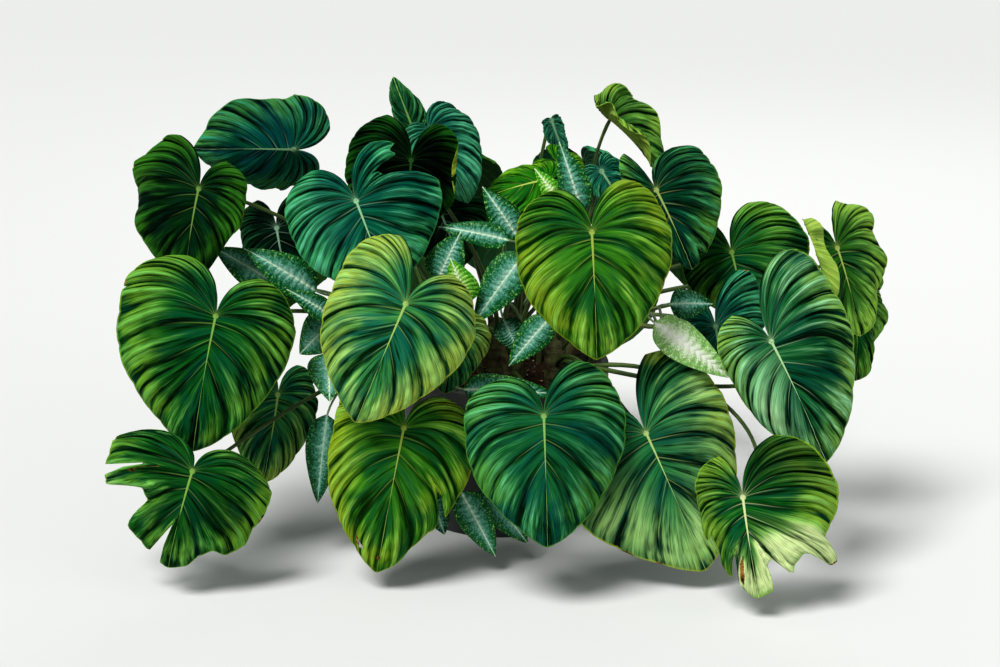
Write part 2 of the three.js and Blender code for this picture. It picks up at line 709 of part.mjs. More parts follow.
const finish = (color, roughness) => new THREE.MeshStandardMaterial({ color, roughness, metalness: 0 });
const FINISHES = {
  leaf: finish(0x2f6b2a, 0.38),
  spotted: finish(0x5f8f68, 0.4),
  crown: finish(0x5a5436, 0.8),
  soil: finish(0x2b2019, 0.95),
  pot: finish(0x3c3e3d, 0.7),
};

const plant = new THREE.Group();

function place(name, solid, material, frame) {
  const mesh = new THREE.Mesh(geometryOf(solid), material);
  mesh.name = name;
  if (frame) frame.decompose(mesh.position, mesh.quaternion, mesh.scale);
  plant.add(mesh);
}

place("pot", potSolid(), FINISHES.pot);
place("soil", soilSolid(), FINISHES.soil);
for (const name of Object.keys(CROWNS)) place("crown_" + name, crownSolid(name), FINISHES.crown);
for (const leaf of leaves) {
  place("leaf_" + leaf.name, petioledLeaf(leaf), FINISHES.leaf, bladeFrame(leaf));
}
for (const [name, cane] of Object.entries(CANES)) {
  place("spotted_" + name, caneSolid(cane), FINISHES.spotted);
}

export default plant;
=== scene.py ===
"""A ribbed heart-leaved philodendron with a silver-marked aglaonema, in a plain round pot.
Metres, +Z up, standing on Z = 0, with the plant's best side facing -Y."""
import math
import random
from types import SimpleNamespace

import bmesh
import bpy
import numpy as np
from bpy.props import FloatProperty, FloatVectorProperty, IntProperty, PointerProperty
from mathutils import Matrix, Vector, noise


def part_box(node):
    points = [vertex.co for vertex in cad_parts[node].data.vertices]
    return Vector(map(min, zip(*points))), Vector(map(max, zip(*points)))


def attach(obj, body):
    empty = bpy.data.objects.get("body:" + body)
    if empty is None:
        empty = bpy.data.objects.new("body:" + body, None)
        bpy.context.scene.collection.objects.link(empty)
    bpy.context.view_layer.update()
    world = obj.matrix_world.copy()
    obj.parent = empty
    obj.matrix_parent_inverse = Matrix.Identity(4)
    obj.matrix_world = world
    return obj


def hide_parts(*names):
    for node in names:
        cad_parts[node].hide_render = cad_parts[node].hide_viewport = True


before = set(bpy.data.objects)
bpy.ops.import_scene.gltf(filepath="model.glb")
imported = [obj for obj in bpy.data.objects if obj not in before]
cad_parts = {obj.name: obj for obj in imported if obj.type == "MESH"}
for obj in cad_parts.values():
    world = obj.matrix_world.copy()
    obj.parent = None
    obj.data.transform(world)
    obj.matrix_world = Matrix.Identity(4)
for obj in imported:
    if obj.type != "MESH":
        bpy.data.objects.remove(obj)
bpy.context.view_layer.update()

bl_info = {
    "name": "Ribbed philodendron in a pot",
    "version": (1, 0, 0),
    "blender": (4, 5, 0),
    "location": "3D View > Sidebar > Plant",
    "description": "Builds a potted ribbed philodendron with silver-marked leaves among its own",
    "category": "Add Mesh",
}


def linear(code):
    """A colour written as six hex digits, as linear red, green and blue."""
    shares = [int(code[i : i + 2], 16) / 255 for i in (0, 2, 4)]
    return tuple(c / 12.92 if c <= 0.04045 else ((c + 0.055) / 1.055) ** 2.4 for c in shares)


# The colours of each kind of heart-shaped blade.
# Of each blade's colours, the one for the grooves is painted shade in the grooves and creases. The
# one for the crests is a painted highlight on them. The teal one is partly the leaf's own tint and
# partly a painted sheen.
HEART_PARTS = "groove blade cool margin crest vein under"
HEART_LOOKS = {
    "deep": "010902 052e0e 032c1c 46841e 387e2a 6c8c44 35602f",
    "night": "010c07 063e20 043c30 6ca434 4ca46a 96a860 4c8048",
    "dusk": "011008 055238 04484a 50903c 389070 7aa074 3f6a3e",
    "forest": "011003 105618 064c30 78a62c 74b654 7ca04c 4c7d3c",
    "emerald": "021c08 185e30 085244 5c9a38 62b478 84ac60 457a4a",
    "fresh": "042208 3a8040 0e6250 aab83e 9ecc70 98b864 68985a",
    "olive": "0a2a01 36761a 0e5228 98ac24 8cbc4c 96aa50 648434",
    "teal": "01120a 0c624a 044a44 42945a 60b890 7ea882 3f7a5e",
    "sea": "011609 0a6044 044e46 44a058 60bc90 90bc90 52906c",
    "blue": "021a0c 2a7842 0c5844 b8cc3c a0d07c a8c078 5c8e60",
    "silver": "011206 1a6030 084e3a 8cb848 90cc94 a8c894 6e9c7a",
    "lime": "0a3402 267408 0f5a20 84b020 6cb432 a8bc58 6ea428",
    "cream": "021a04 145e1c 0a5034 94ba34 86b858 c8d49a 92b074",
    "folded": "041804 20580e 0a4826 98bc44 84b854 96a858 9cb850",
    # This look and the shaded one below darken the whole upper face with painted shade for leaves
    # that lie in shadow. The hood look's under colour is the lime underside of its rolled margin.
    "hood": "000701 011604 021c0c 2a6a18 18581e 2c5424 8ea02c",
    "shaded": "000803 032010 02241c 184a20 2c6e44 86a88c 1a4226",
}
# The colours of each kind of spear-shaped blade.
SPEAR_PARTS = "centre haze blade speck vein under"
SPEAR_LOOKS = {
    "silver": "8eb8a6 4c9078 0a5628 94cc5c c0d8b8 4a7a5c",
    "dusky": "80b09c 3a7c62 06421f 62a85c a0c0a8 2f5a48",
    "bright": "d4e8b8 94cc54 3c9418 c4e06c d8ecc0 70a060",
    "pale": "f2f6e6 dcecc8 88bc64 ecf6d0 f6f8ea b4cca0",
}
# Pale yellow-green that light patches lay on: painted highlight and sheen, and on the torn leaves
# partly pale faded tissue.
BLEACH_AND_HIGHLIGHT = linear("d8e4a8")
SCAR_PALE, SCAR_DARK = linear("a8743a"), linear("3c2010")
BARK = linear("7a5534"), linear("3d2616")
PERLITE = linear("d9d5ca"), linear("a8a294")


# ---- The leaves ----

# What each half of a blade has of its own: one value for both, or left then right, as seen on the
# upper face with the tip down.
HALVES = ("half", "lobes", "splay", "fold", "curl", "roll", "rolled")
# What a blade doesn't state. Splay leans the lobes outward. Roll is the radius at which a half
# turns over its own upper face, and rolled the share of the half at which that starts. A tear has
# its signed vein place, depth and width, and one of negative depth is a tongue. A mark, a hole or
# a patch has its vein place, its way out along the vein and its two half widths, and a patch also
# how much it lightens the blade, or darkens it below 0. A lightening patch paints highlights and
# sheen, and on the torn leaves it is partly pale faded tissue. A darkening one is painted shade.
BLADE = dict(heading=0, splay=0, roll=0, rolled=1, tears=(), marks=(), holes=(), patches=())
# What a ribbed leaf doesn't state. Root is the height at which the stalk leaves its crown, swing
# turns its way out, climb is how steeply it leaves, and spring, neck, hook and sway shape its
# arch, as shares of the stalk's length.
RIBBED = dict(
    **BLADE, lift=20, fold=10, curl=26, nod=26, tuck=22, waves=2.5,
    swing=0, climb=62, spring=0.42, neck=0.3, hook=0, sway=0, large=False,
)
# What a spear-shaped leaf doesn't state.
SPEAR = dict(
    **BLADE, lift=30, fold=-12, curl=30, nod=30, tuck=0, waves=1.5,
    pleats=1, rib_height=0, swell=0, dimple=0,
)


def metres(value):
    """Millimetres, alone or in rows, as metres."""
    return tuple(metres(v) for v in value) if isinstance(value, tuple) else value / 1000


def blade(defaults, given, **lengths):
    """A leaf with its lengths in metres, and its midrib's length worked out."""
    leaf = SimpleNamespace(**{**defaults, **given})
    for key, value in {**lengths, "roll": leaf.roll}.items():
        setattr(leaf, key, metres(value))
    for key in HALVES:
        value = getattr(leaf, key)
        setattr(leaf, key, value if isinstance(value, tuple) else (value, value))
    leaf.length = (Vector(leaf.seat) - Vector(leaf.tip)).length
    return leaf


def ribbed(look, crown, root, seat, tip, half, lobes=70, wave=3, **given):
    """A heart-shaped leaf on a crown, its lengths in millimetres."""
    given.update(look=look, crown=crown)
    return blade(RIBBED, given, root=root, seat=seat, tip=tip, half=half, lobes=lobes, wave=wave)


def spotted(look, start, seat, tip, half, **given):
    """A spear-shaped leaf that starts at a share of its cane, its lengths in millimetres."""
    given.update(look=look, start=start)
    return blade(SPEAR, given, seat=seat, tip=tip, half=half, lobes=1)


# The ribbed leaves, each with its look, crown, root, seat, tip and half widths.
LEAVES = {
    "west_high": ribbed(
        "deep", "west", 318, (-501, -220, 654), (-542, -262, 480), (158, 82), lobes=(84, 58),
        heading=-14, wave=9, waves=3, tears=((-0.3, 0.12, 0.22), (-0.75, -0.06, 0.12),
        (0.25, 0.15, 0.24)), marks=((0.5, 1, 0.02, 0.035), (0.42, 1, 0.015, 0.03)),
        patches=((0.7, 0.8, 0.3, 0.3, 0.2), (-0.3, 0.5, 0.3, 0.5, -0.4)),
    ),
    "northwest_flat": ribbed(
        "dusk", "west", 338, (-356, -66, 687), (-520, -120, 703), (100, 104), lobes=(70, 64),
        heading=-4, lift=16, fold=(0, 34), curl=(14, 40), climb=78, tears=((-0.25, -0.12, 0.16),
        (-0.46, 0.12, 0.15), (0.5, 0.1, 0.06)), holes=((-0.42, 0.62, 0.007, 0.014),
        (-0.36, 0.5, 0.006, 0.012)),
    ),
    "left_shaded": ribbed(
        "shaded", "west", 310, (-392, -40, 541), (-372, -80, 420), 84, lobes=60, heading=-10,
        swing=-20,
    ),
    "low_left_shaded": ribbed(
        "fresh", "west", 286, (-381, -212, 290), (-400, -272, 144), (80, 84), lobes=60, heading=20,
        swing=14, climb=50, patches=((-0.4, 0.7, 0.6, 0.5, 0.2),),
    ),
    "back_west": ribbed(
        "forest", "west", 322, (-330, 170, 480), (-440, 260, 330), 110, heading=-125, swing=-14,
        climb=66,
    ),
    "back_left": ribbed(
        "forest", "west", 292, (-180, 290, 420), (-230, 380, 240), 120, heading=-160, swing=-10,
    ),
    "west_middle": ribbed(
        "forest", "front_west", 300, (-465, -340, 469), (-516, -400, 244), (200, 136),
        lobes=(96, 80), heading=-4, climb=50, tears=((-0.62, 0.03, 0.015),),
        marks=((-0.66, 1, 0.02, 0.03),), patches=((-0.2, 0.5, 0.2, 0.4, -0.3),), large=True,
    ),
    "upper_left": ribbed(
        "sea", "front_west", 334, (-237, -260, 643), (-178, -316, 500), (138, 150), lobes=(84, 96),
        climb=78, tears=((0.66, 0.6, 0.12), (0.78, 0.2, 0.1)), patches=((-0.5, 0.6, 0.4, 0.5, 0.3),
        (0.4, 0.6, 0.3, 0.5, -0.3)), large=True,
    ),
    "centre_left": ribbed(
        "fresh", "front_west", 320, (-150, -430, 516), (-236, -490, 328), (138, 128),
        lobes=(104, 76), swing=-16, patches=((0.1, 0.8, 0.9, 0.35, 0.2),), large=True,
    ),
    "low_left": ribbed(
        "olive", "front_west", 292, (-157, -400, 296), (-210, -450, 38), (132, 130),
        lobes=(72, 64), swing=10, climb=48, tears=((0.28, 0.4, 0.022), (0.17, 0.1, 0.09)),
        marks=((-0.1, 0.82, 0.024, 0.05), (-0.005, 0.72, 0.008, 0.06)),
        holes=((-0.09, 0.82, 0.014, 0.03),), large=True,
    ),
    "low_west_torn": ribbed(
        "forest", "front_west", 284, (-504, -408, 224), (-556, -456, 62), (180, 138),
        lobes=(46, 54), heading=-6, swing=14, climb=42, tears=((-0.42, 0.54, 0.022),
        (-0.27, 0.54, 0.09), (-0.06, 0.8, 0.026), (0.15, 0.12, 0.08), (0.28, -0.12, 0.1)),
        marks=((-0.4, 0.6, 0.022, 0.06), (0.44, 1, 0.03, 0.03)),
        patches=((-0.36, 0.95, 0.08, 0.3, 0.8), (0.12, 0.75, 0.06, 0.18, 0.9),
        (0.7, 0.7, 0.2, 0.3, 0.3), (-0.1, 0.3, 0.5, 0.4, -0.5), (0.35, 0.6, 0.15, 0.5, -0.4)),
        large=True,
    ),
    "hooded_dark": ribbed(
        "hood", "middle", 322, (-150, -150, 687), (-160, -186, 560), (134, 94), lobes=(84, 66),
        fold=(16, 4), curl=(26, 10), swing=46, climb=62, neck=0.12, roll=(0, 7), rolled=(1, 0.74),
        patches=((0.2, 0.35, 0.5, 0.6, -1), (-0.3, 0.35, 0.45, 0.5, -0.8),
        (0.75, 0.4, 0.2, 0.5, -0.5)),
    ),
    "top_teal": ribbed(
        "teal", "middle", 338, (-121, -40, 715), (-48, -96, 604), (56, 88), lobes=(30, 46),
        heading=14, swing=-10, climb=84, patches=((0, 0.65, 1.2, 0.5, 0.35),),
    ),
    "young_spear": ribbed(
        "emerald", "middle", 330, (-148, -12, 702), (-184, -30, 803), (34, 30), lobes=12, lift=10,
        fold=20, curl=30, swing=-50, climb=82, patches=((-0.6, 0.6, 0.4, 0.6, 0.45),
        (0.6, 0.6, 0.4, 0.6, -0.2)),
    ),
    "centre_shaded": ribbed(
        "shaded", "front_west", 342, (-104, -34, 568), (-66, -76, 480), (80, 84), lobes=60,
        swing=-20, climb=84,
    ),
    "top_lime": ribbed(
        "lime", "middle", 336, (82, 30, 611), (-44, 4, 594), 60, lobes=50, lift=50, climb=80,
    ),
    "back_high_left": ribbed(
        "deep", "middle", 312, (-90, 200, 600), (-130, 300, 492), 100, heading=-165, climb=74,
    ),
    "behind_centre": ribbed(
        "fresh", "front", 312, (-72, -326, 440), (-90, -350, 332), 66, lobes=34, heading=10,
        swing=14,
    ),
    "low_centre": ribbed(
        "emerald", "front", 292, (70, -470, 341), (78, -530, 124), (142, 144), lobes=(66, 92),
        climb=14, neck=0.34, patches=((-0.7, 0.7, 0.3, 0.3, 0.2), (0.3, 0.6, 0.3, 0.5, -0.35)),
        large=True,
    ),
    "centre_bright": ribbed(
        "olive", "front", 332, (146, -400, 626), (157, -460, 422), (134, 142), lobes=(78, 88),
        swing=10, climb=74, patches=((0, 0.65, 1.2, 0.4, 0.12),), large=True,
    ),
    "top_rolled": ribbed(
        "teal", "back", 342, (94, 160, 692), (120, 150, 622), 24, lobes=8, fold=30, curl=40,
        swing=-50, climb=84, patches=((0.4, 0.5, 1.5, 1.5, 0.5),),
    ),
    "top_middle": ribbed(
        "lime", "back", 324, (110, 106, 622), (156, 82, 594), 50, lobes=50, lift=50, swing=-70,
        climb=76,
    ),
    "back_middle": ribbed(
        "emerald", "back", 300, (10, 330, 500), (10, 430, 330), 125, heading=180, swing=20,
    ),
    "back_right": ribbed(
        "forest", "back", 288, (200, 290, 400), (250, 390, 220), 120, heading=160,
    ),
    "back_high_right": ribbed(
        "teal", "back", 316, (156, 232, 598), (214, 320, 468), 104, heading=160, climb=74,
    ),
    "low_right": ribbed(
        "blue", "front_east", 292, (240, -380, 280), (352, -440, 48), (190, 164), lobes=(84, 124),
        heading=4, swing=-12, climb=48, marks=((-0.22, 1, 0.02, 0.03), (-0.13, 1, 0.015, 0.03)),
        patches=((0.62, 0.75, 0.08, 0.2, 0.7), (-0.12, 0.85, 0.12, 0.3, 0.55),
        (-0.3, 0.85, 0.06, 0.25, 0.5), (-0.25, 0.5, 0.2, 0.3, 0.5), (0.3, 0.65, 0.3, 0.5, 0.45),
        (-0.85, 0.4, 0.2, 0.6, -0.4), (0.05, 0.4, 0.1, 0.4, 0.5)), large=True,
    ),
    "low_east_torn": ribbed(
        "cream", "front_east", 280, (390, -490, 210), (412, -540, 46), (86, 160), lobes=(72, 100),
        heading=-14, swing=46, climb=20, hook=0.14, sway=0.17, tears=((0.1, 0.52, 0.045),
        (0.19, 0.14, 0.06), (0.27, -0.5, 0.045), (-0.14, 0.5, 0.03), (-0.3, 0.25, 0.08)),
        marks=((-0.08, 0.6, 0.02, 0.3), (0.27, 1, 0.02, 0.03)),
        patches=((0.12, 0.65, 0.13, 0.5, 1.6), (0.28, 0.75, 0.06, 0.5, 1.3),
        (-0.08, 0.7, 0.07, 0.4, 1.6), (0.78, 0.5, 0.38, 1, -0.6), (-0.65, 0.5, 0.35, 0.9, -0.35)),
        large=True,
    ),
    "right_teal": ribbed(
        "teal", "front_east", 318, (363, -244, 422), (376, -258, 350), (62, 102), lobes=(60, 88),
        heading=4, tuck=8, splay=(0, 0.25), marks=((0.93, 1, 0.03, 0.05),),
    ),
    "east_middle": ribbed(
        "silver", "front_east", 304, (440, -380, 438), (549, -430, 238), (90, 162),
        lobes=(68, 132), heading=8, swing=8, climb=0, neck=0.12, hook=-0.28, splay=(0, 0.3),
        patches=((-0.22, 0.6, 0.2, 0.6, 0.8), (0.75, 0.75, 0.2, 0.2, 0.25),
        (0.3, 0.4, 0.3, 0.5, -0.3)), large=True,
    ),
    "upper_right": ribbed(
        "night", "front_east", 336, (260, -220, 652), (326, -272, 530), (46, 128), lobes=(86, 60),
        heading=8, swing=-20, climb=78, splay=(0, 0.4), tears=((1, 0.45, 0.14), (0.07, 0.3, 0.02)),
        patches=((-0.8, 0.5, 0.5, 0.9, 0.15), (0.07, 0.8, 0.03, 0.25, 0.6),
        (0.75, 0.6, 0.3, 0.4, 0.3), (0.42, 0.72, 0.03, 0.14, 0.7)),
    ),
    "top_tall": ribbed(
        "folded", "east", 334, (194, 50, 714), (290, 4, 646), (52, 80), lobes=(30, 52), heading=44,
        lift=36, fold=(-62, -22), curl=10, wave=9, waves=3, swing=10, climb=86,
        tears=((0.5, 0.12, 0.12),), patches=((0.2, 0.6, 1, 0.5, 0.35),),
    ),
    "top_small": ribbed(
        "teal", "east", 342, (180, 20, 629), (214, -8, 582), 40, lobes=30, swing=-95, climb=86,
    ),
    "right_round": ribbed(
        "forest", "east", 318, (395, -160, 529), (424, -205, 420), (92, 150), lobes=(78, 86),
        heading=6, curl=(26, 10), swing=-12, climb=66, marks=((0.62, 1, 0.015, 0.025),),
        patches=((0.4, 0.6, 0.5, 0.4, 0.3),),
    ),
    "east_high": ribbed(
        "folded", "east", 306, (573, -170, 539), (624, -218, 396), (84, 104), lobes=(62, 86),
        heading=12, fold=(-6, 14), curl=(-10, 24), wave=9, waves=3, climb=56, hook=-0.15,
        splay=(0.3, 0), roll=(11, 0), rolled=(0.44, 1), patches=((0.3, 0.6, 0.9, 0.5, 0.35),),
    ),
    "east_low": ribbed(
        "forest", "east", 288, (618, -90, 424), (640, -130, 286), (80, 92), lobes=64, heading=26,
        wave=9, waves=3, swing=10, climb=46,
    ),
    "back_east": ribbed(
        "deep", "east", 300, (360, 180, 470), (470, 260, 310), 110, heading=125, swing=10,
    ),
}
# The canes, each with its way through the soil and up, and its leaves.
CANES = {
    "west": (
        ((-112, -58), (-128, -80, 330), (-196, -118, 392), (-262, -160, 432)),
        spotted("silver", 0.95, (-390, -170, 480), (-477, -200, 550), 32),
        spotted("silver", 0.88, (-312, -196, 470), (-419, -235, 558), 34),
        spotted("silver", 0.8, (-285, -215, 432), (-349, -250, 489), 20),
        spotted("silver", 0.7, (-285, -150, 405), (-352, -170, 350), 38),
    ),
    "low_west": (
        ((-60, -124), (-100, -150, 320), (-180, -195, 340), (-250, -215, 345)),
        spotted("silver", 0.97, (-290, -232, 372), (-286, -310, 322), 36),
        spotted("dusky", 0.85, (-294, -250, 268), (-317, -290, 107), 30),
    ),
    "centre": (
        ((-30, -116), (-38, -130, 330), (-46, -162, 400), (-54, -184, 448)),
        spotted("silver", 1, (-104, -230, 500), (-70, -245, 584), 34),
        spotted("bright", 1, (-54, -270, 470), (-78, -288, 547), 28),
        spotted("silver", 0.4, (-60, -340, 342), (92, -362, 350), 28),
    ),
    "centre_high": (
        ((40, -20), (40, -50, 360), (44, -95, 460), (50, -105, 540)),
        spotted("silver", 0.9, (40, -240, 547), (-50, -286, 440), 36),
        spotted("dusky", 0.45, (6, -230, 430), (32, -258, 382), 26),
        spotted("silver", 0.6, (84, -250, 439), (10, -285, 366), 28),
        spotted("silver", 0.85, (15, -200, 560), (-100, -225, 598), 22),
        spotted("silver", 0.95, (30, -150, 552), (-24, -165, 644), 28),
        spotted("bright", 0.98, (103, -120, 606), (63, -130, 668), 18),
        spotted("silver", 1, (140, -125, 590), (105, -135, 713), 28),
    ),
    "east": (
        ((160, -30), (172, -52, 330), (222, -125, 385), (275, -190, 405)),
        spotted("dusky", 1, (282, -282, 472), (354, -292, 480), 26),
        spotted("pale", 0.96, (255, -300, 446), (389, -340, 366), 34),
    ),
    "front": (
        ((10, -134), (6, -165, 300), (-20, -225, 290), (-50, -262, 236)),
        spotted("silver", 0.95, (-66, -310, 150), (-2, -346, 40), 30),
        spotted("silver", 0.85, (-30, -272, 146), (56, -300, 46), 32),
        spotted("dusky", 1, (-119, -290, 140), (-92, -315, 70), 24),
    ),
    "back": (
        ((72, 96), (72, 130, 340), (56, 180, 400), (44, 205, 430)),
        spotted("silver", 0.97, (22, 230, 474), (4, 262, 544), 24, heading=180),
        spotted("silver", 1, (50, 236, 486), (42, 266, 556), 24, heading=180),
    ),
}


# ---- The shape of a blade ----

# Where the veins of a half blade end, from the tip round to the top of the lobe: along (of the
# length, or of the lobe where it is negative), across (of the half width) and the angle from the
# midrib at which the vein leaves, in degrees.
HEART_KNOTS = (
    (1.0, 0.0, 0), (0.86, 0.34, 36), (0.66, 0.66, 60), (0.42, 0.88, 82), (0.16, 0.98, 104),
    (-0.14, 0.97, 126), (-0.56, 0.87, 146), (-0.9, 0.65, 164), (-1.0, 0.38, 177),
)
SPEAR_KNOTS = (
    (1.0, 0.0, 0), (0.84, 0.36, 26), (0.66, 0.68, 30), (0.46, 0.93, 36), (0.26, 1.0, 44),
    (0.09, 0.74, 60), (0.0, 0.0, 80),
)
# Veins up to the fork start along the midrib, within its reach of the length and bunched by ease,
# and the others start at the seat. Bow is how long a vein keeps its first direction.
HEART_FORM = SimpleNamespace(knots=np.array(HEART_KNOTS), fork=0.5, reach=0.5, ease=1.6, bow=0.62)
SPEAR_FORM = SimpleNamespace(knots=np.array(SPEAR_KNOTS), fork=1.0, reach=0.9, ease=1.0, bow=0.4)
TORN_LEAST = 0.12
TEAR_SLOPE = 0.7
RIB_ROUNDNESS, RIB_RISE, RIB_EDGE = 0.75, 0.7, 0.55
PLEAT_STRAY, PLEAT_EDGE = 0.06, 0.6
WAVE_LAG = 0.37
VEIN_STRAY = 0.07
PITCH_STEP = 0.001
MIDRIB_TIP, MIDRIB_SPREAD, MIDRIB_END = 0.0012, 0.002, 0.004
# A vertex's light value is above 0 under painted highlight and sheen, and below 0 under painted
# shade.
VERTEX_VALUES = ("mark", "seed", "light")
BLADE_WELD, TUBE_WELD = 1e-5, 1e-6
TINY = 1e-9


def catmull_rom(knots, place):
    """Points of the smooth curve through the knots, at shares of its length in knots."""
    padded = np.vstack((2 * knots[0] - knots[1], knots, 2 * knots[-1] - knots[-2]))
    whole = place * (len(knots) - 1)
    first = np.clip(whole.astype(int), 0, len(knots) - 2)
    t = (whole - first)[:, None]
    a, b, c, d = (padded[first + k] for k in range(4))
    square, cube = 2 * a - 5 * b + 4 * c - d, 3 * b - a - 3 * c + d
    return 0.5 * (2 * b + (c - a) * t + square * t**2 + cube * t**3)


def smooth(value, low, high):
    """0 below low, 1 above high, and smooth between them."""
    t = np.clip((value - low) / (high - low), 0, 1)
    return t * t * (3 - 2 * t)


def bump_at(x, u, place, out, wide, deep):
    """1 at a place on the blade, and less around it."""
    return np.exp(-(((x - place) / wide) ** 2) - ((u - out) / deep) ** 2)


def flat_point(leaf, form, x, u):
    """Across and along of the flat blade. x is the vein's signed place, 0 at the tip, and u runs
    out along it."""
    side = (x > 0).astype(int)
    v = np.abs(x)
    end = catmull_rom(form.knots, v)
    along = end[:, 0] * np.where(end[:, 0] < 0, np.array(leaf.lobes)[side], leaf.length)
    leaning = np.array(leaf.splay)[side] * np.clip(-along, 0, None)
    across = end[:, 1] * np.array(leaf.half)[side] + leaning
    start = leaf.length * form.reach * np.clip(1 - v / form.fork, 0, None) ** form.ease
    span = form.bow * np.hypot(along - start, across)
    turn = np.radians(end[:, 2])
    reach = np.ones_like(x)
    for place, depth, width in leaf.tears:
        reach -= depth * smooth(1 - np.abs(x - place) / width, 0, TEAR_SLOPE)
    t = u * np.clip(reach, TORN_LEAST, None)
    near, far = 2 * t * (1 - t), t * t
    out = near * span * np.sin(turn) + far * across
    down = (1 - t) ** 2 * start + near * (start + span * np.cos(turn)) + far * along
    return np.where(x < 0, -out, out), -down


def relief(leaf, x, u):
    """How high the blade stands above its flat form: ribs between the side veins, pleats on them
    and a waved margin."""
    veins, phase = np.abs(x) * leaf.veins, leaf.seed
    rib = np.abs(np.sin(np.pi * veins)) ** RIB_ROUNDNESS
    rib = rib * np.sin(np.clip(u / RIB_RISE, 0, 1) * np.pi / 2)
    rib *= 1 - RIB_EDGE * smooth(u, 0.86, 1.0)
    bent = veins + PLEAT_STRAY * np.sin(5 * u + 3 * veins + phase)
    pleat = np.abs(np.sin(np.pi * bent * leaf.pleats)) * smooth(u, 0.2, 0.6)
    pleat = pleat * (1 - PLEAT_EDGE * smooth(u, 0.93, 1.0))
    waves = leaf.waves * np.abs(x) + np.where(x < 0, WAVE_LAG, 0)
    wave = np.sin(2 * np.pi * waves) * u * u
    swell = np.sin(9 * x + 2.1 * phase) * np.sin(4.2 * u + 1.7 * phase) * u
    dimple = np.sin(26 * u + 4 * np.sin(7 * x + phase)) * np.sin(2 * np.pi * veins + 2 * phase)
    dimple *= smooth(u, 0.15, 0.4) * (1 - smooth(u, 0.75, 0.95))
    parts = (rib, pleat, wave, swell, dimple)
    heights = (leaf.rib_height, leaf.pleat_height, leaf.wave, leaf.swell, leaf.dimple)
    return sum(height * part for height, part in zip(heights, parts))


def bend(leaf, across, along, height):
    """Rolls the margins, folds each half back about the midrib, curls it, and nods the tip and
    the lobes."""
    side = (across >= 0).astype(int)
    half, roll = np.array(leaf.half)[side], np.array(leaf.roll)[side] + TINY
    start = half * np.array(leaf.rolled)[side]
    beyond = np.clip(np.abs(across) - start, 0, None) * (roll > 10 * TINY)
    angle = np.clip(beyond / roll, 0, np.pi)
    back = np.clip(beyond - np.pi * roll, 0, None)
    out = np.where(beyond > 0, start + roll * np.sin(angle) - back, np.abs(across))
    height = height * np.cos(angle) + roll * (1 - np.cos(angle))
    curl = np.radians(np.array(leaf.curl, float)[side]) / half + TINY
    lean = np.radians(np.array(leaf.fold, float)[side])
    arc = curl * out
    reach = np.sin(arc) / curl + height * np.sin(arc)
    back = (1 - np.cos(arc)) / curl - height * np.cos(arc)
    sideways = np.where(across < 0, -1, 1) * (reach * np.cos(lean) - back * np.sin(lean))
    back = reach * np.sin(lean) + back * np.cos(lean)
    tuck = np.radians(leaf.tuck) / max(*leaf.lobes, 0.001)
    nod = np.where(along < 0, np.radians(leaf.nod) / leaf.length, tuck) + TINY
    pitch = nod * np.abs(along)
    run, drop = np.sin(pitch) / nod, (1 - np.cos(pitch)) / nod
    lengthwise = np.where(along < 0, -1, 1) * (run - back * np.sin(pitch))
    return np.stack((sideways, lengthwise, -drop - back * np.cos(pitch)), axis=1)


def blade_frame(leaf):
    """The seat is the origin, +Y runs back along the midrib and +Z out of the upper face."""
    seat = Vector(leaf.seat)
    down = (Vector(leaf.tip) - seat).normalized()
    heading = math.radians(leaf.heading)
    outward = Vector((math.sin(heading), -math.cos(heading), math.tan(math.radians(leaf.lift))))
    face = (outward - outward.dot(down) * down).normalized()
    turn = Matrix(((-down).cross(face), -down, face)).transposed().to_4x4()
    return Matrix.Translation(seat) @ turn


def grid(bm, columns, rows):
    """A flat grid, with its vertices' places from -1 to 1 across and from 0 to 1 along."""
    verts = bmesh.ops.create_grid(bm, x_segments=columns, y_segments=rows, size=1)["verts"]
    places = np.array([v.co[:2] for v in verts])
    return verts, places[:, 0], (places[:, 1] + 1) / 2


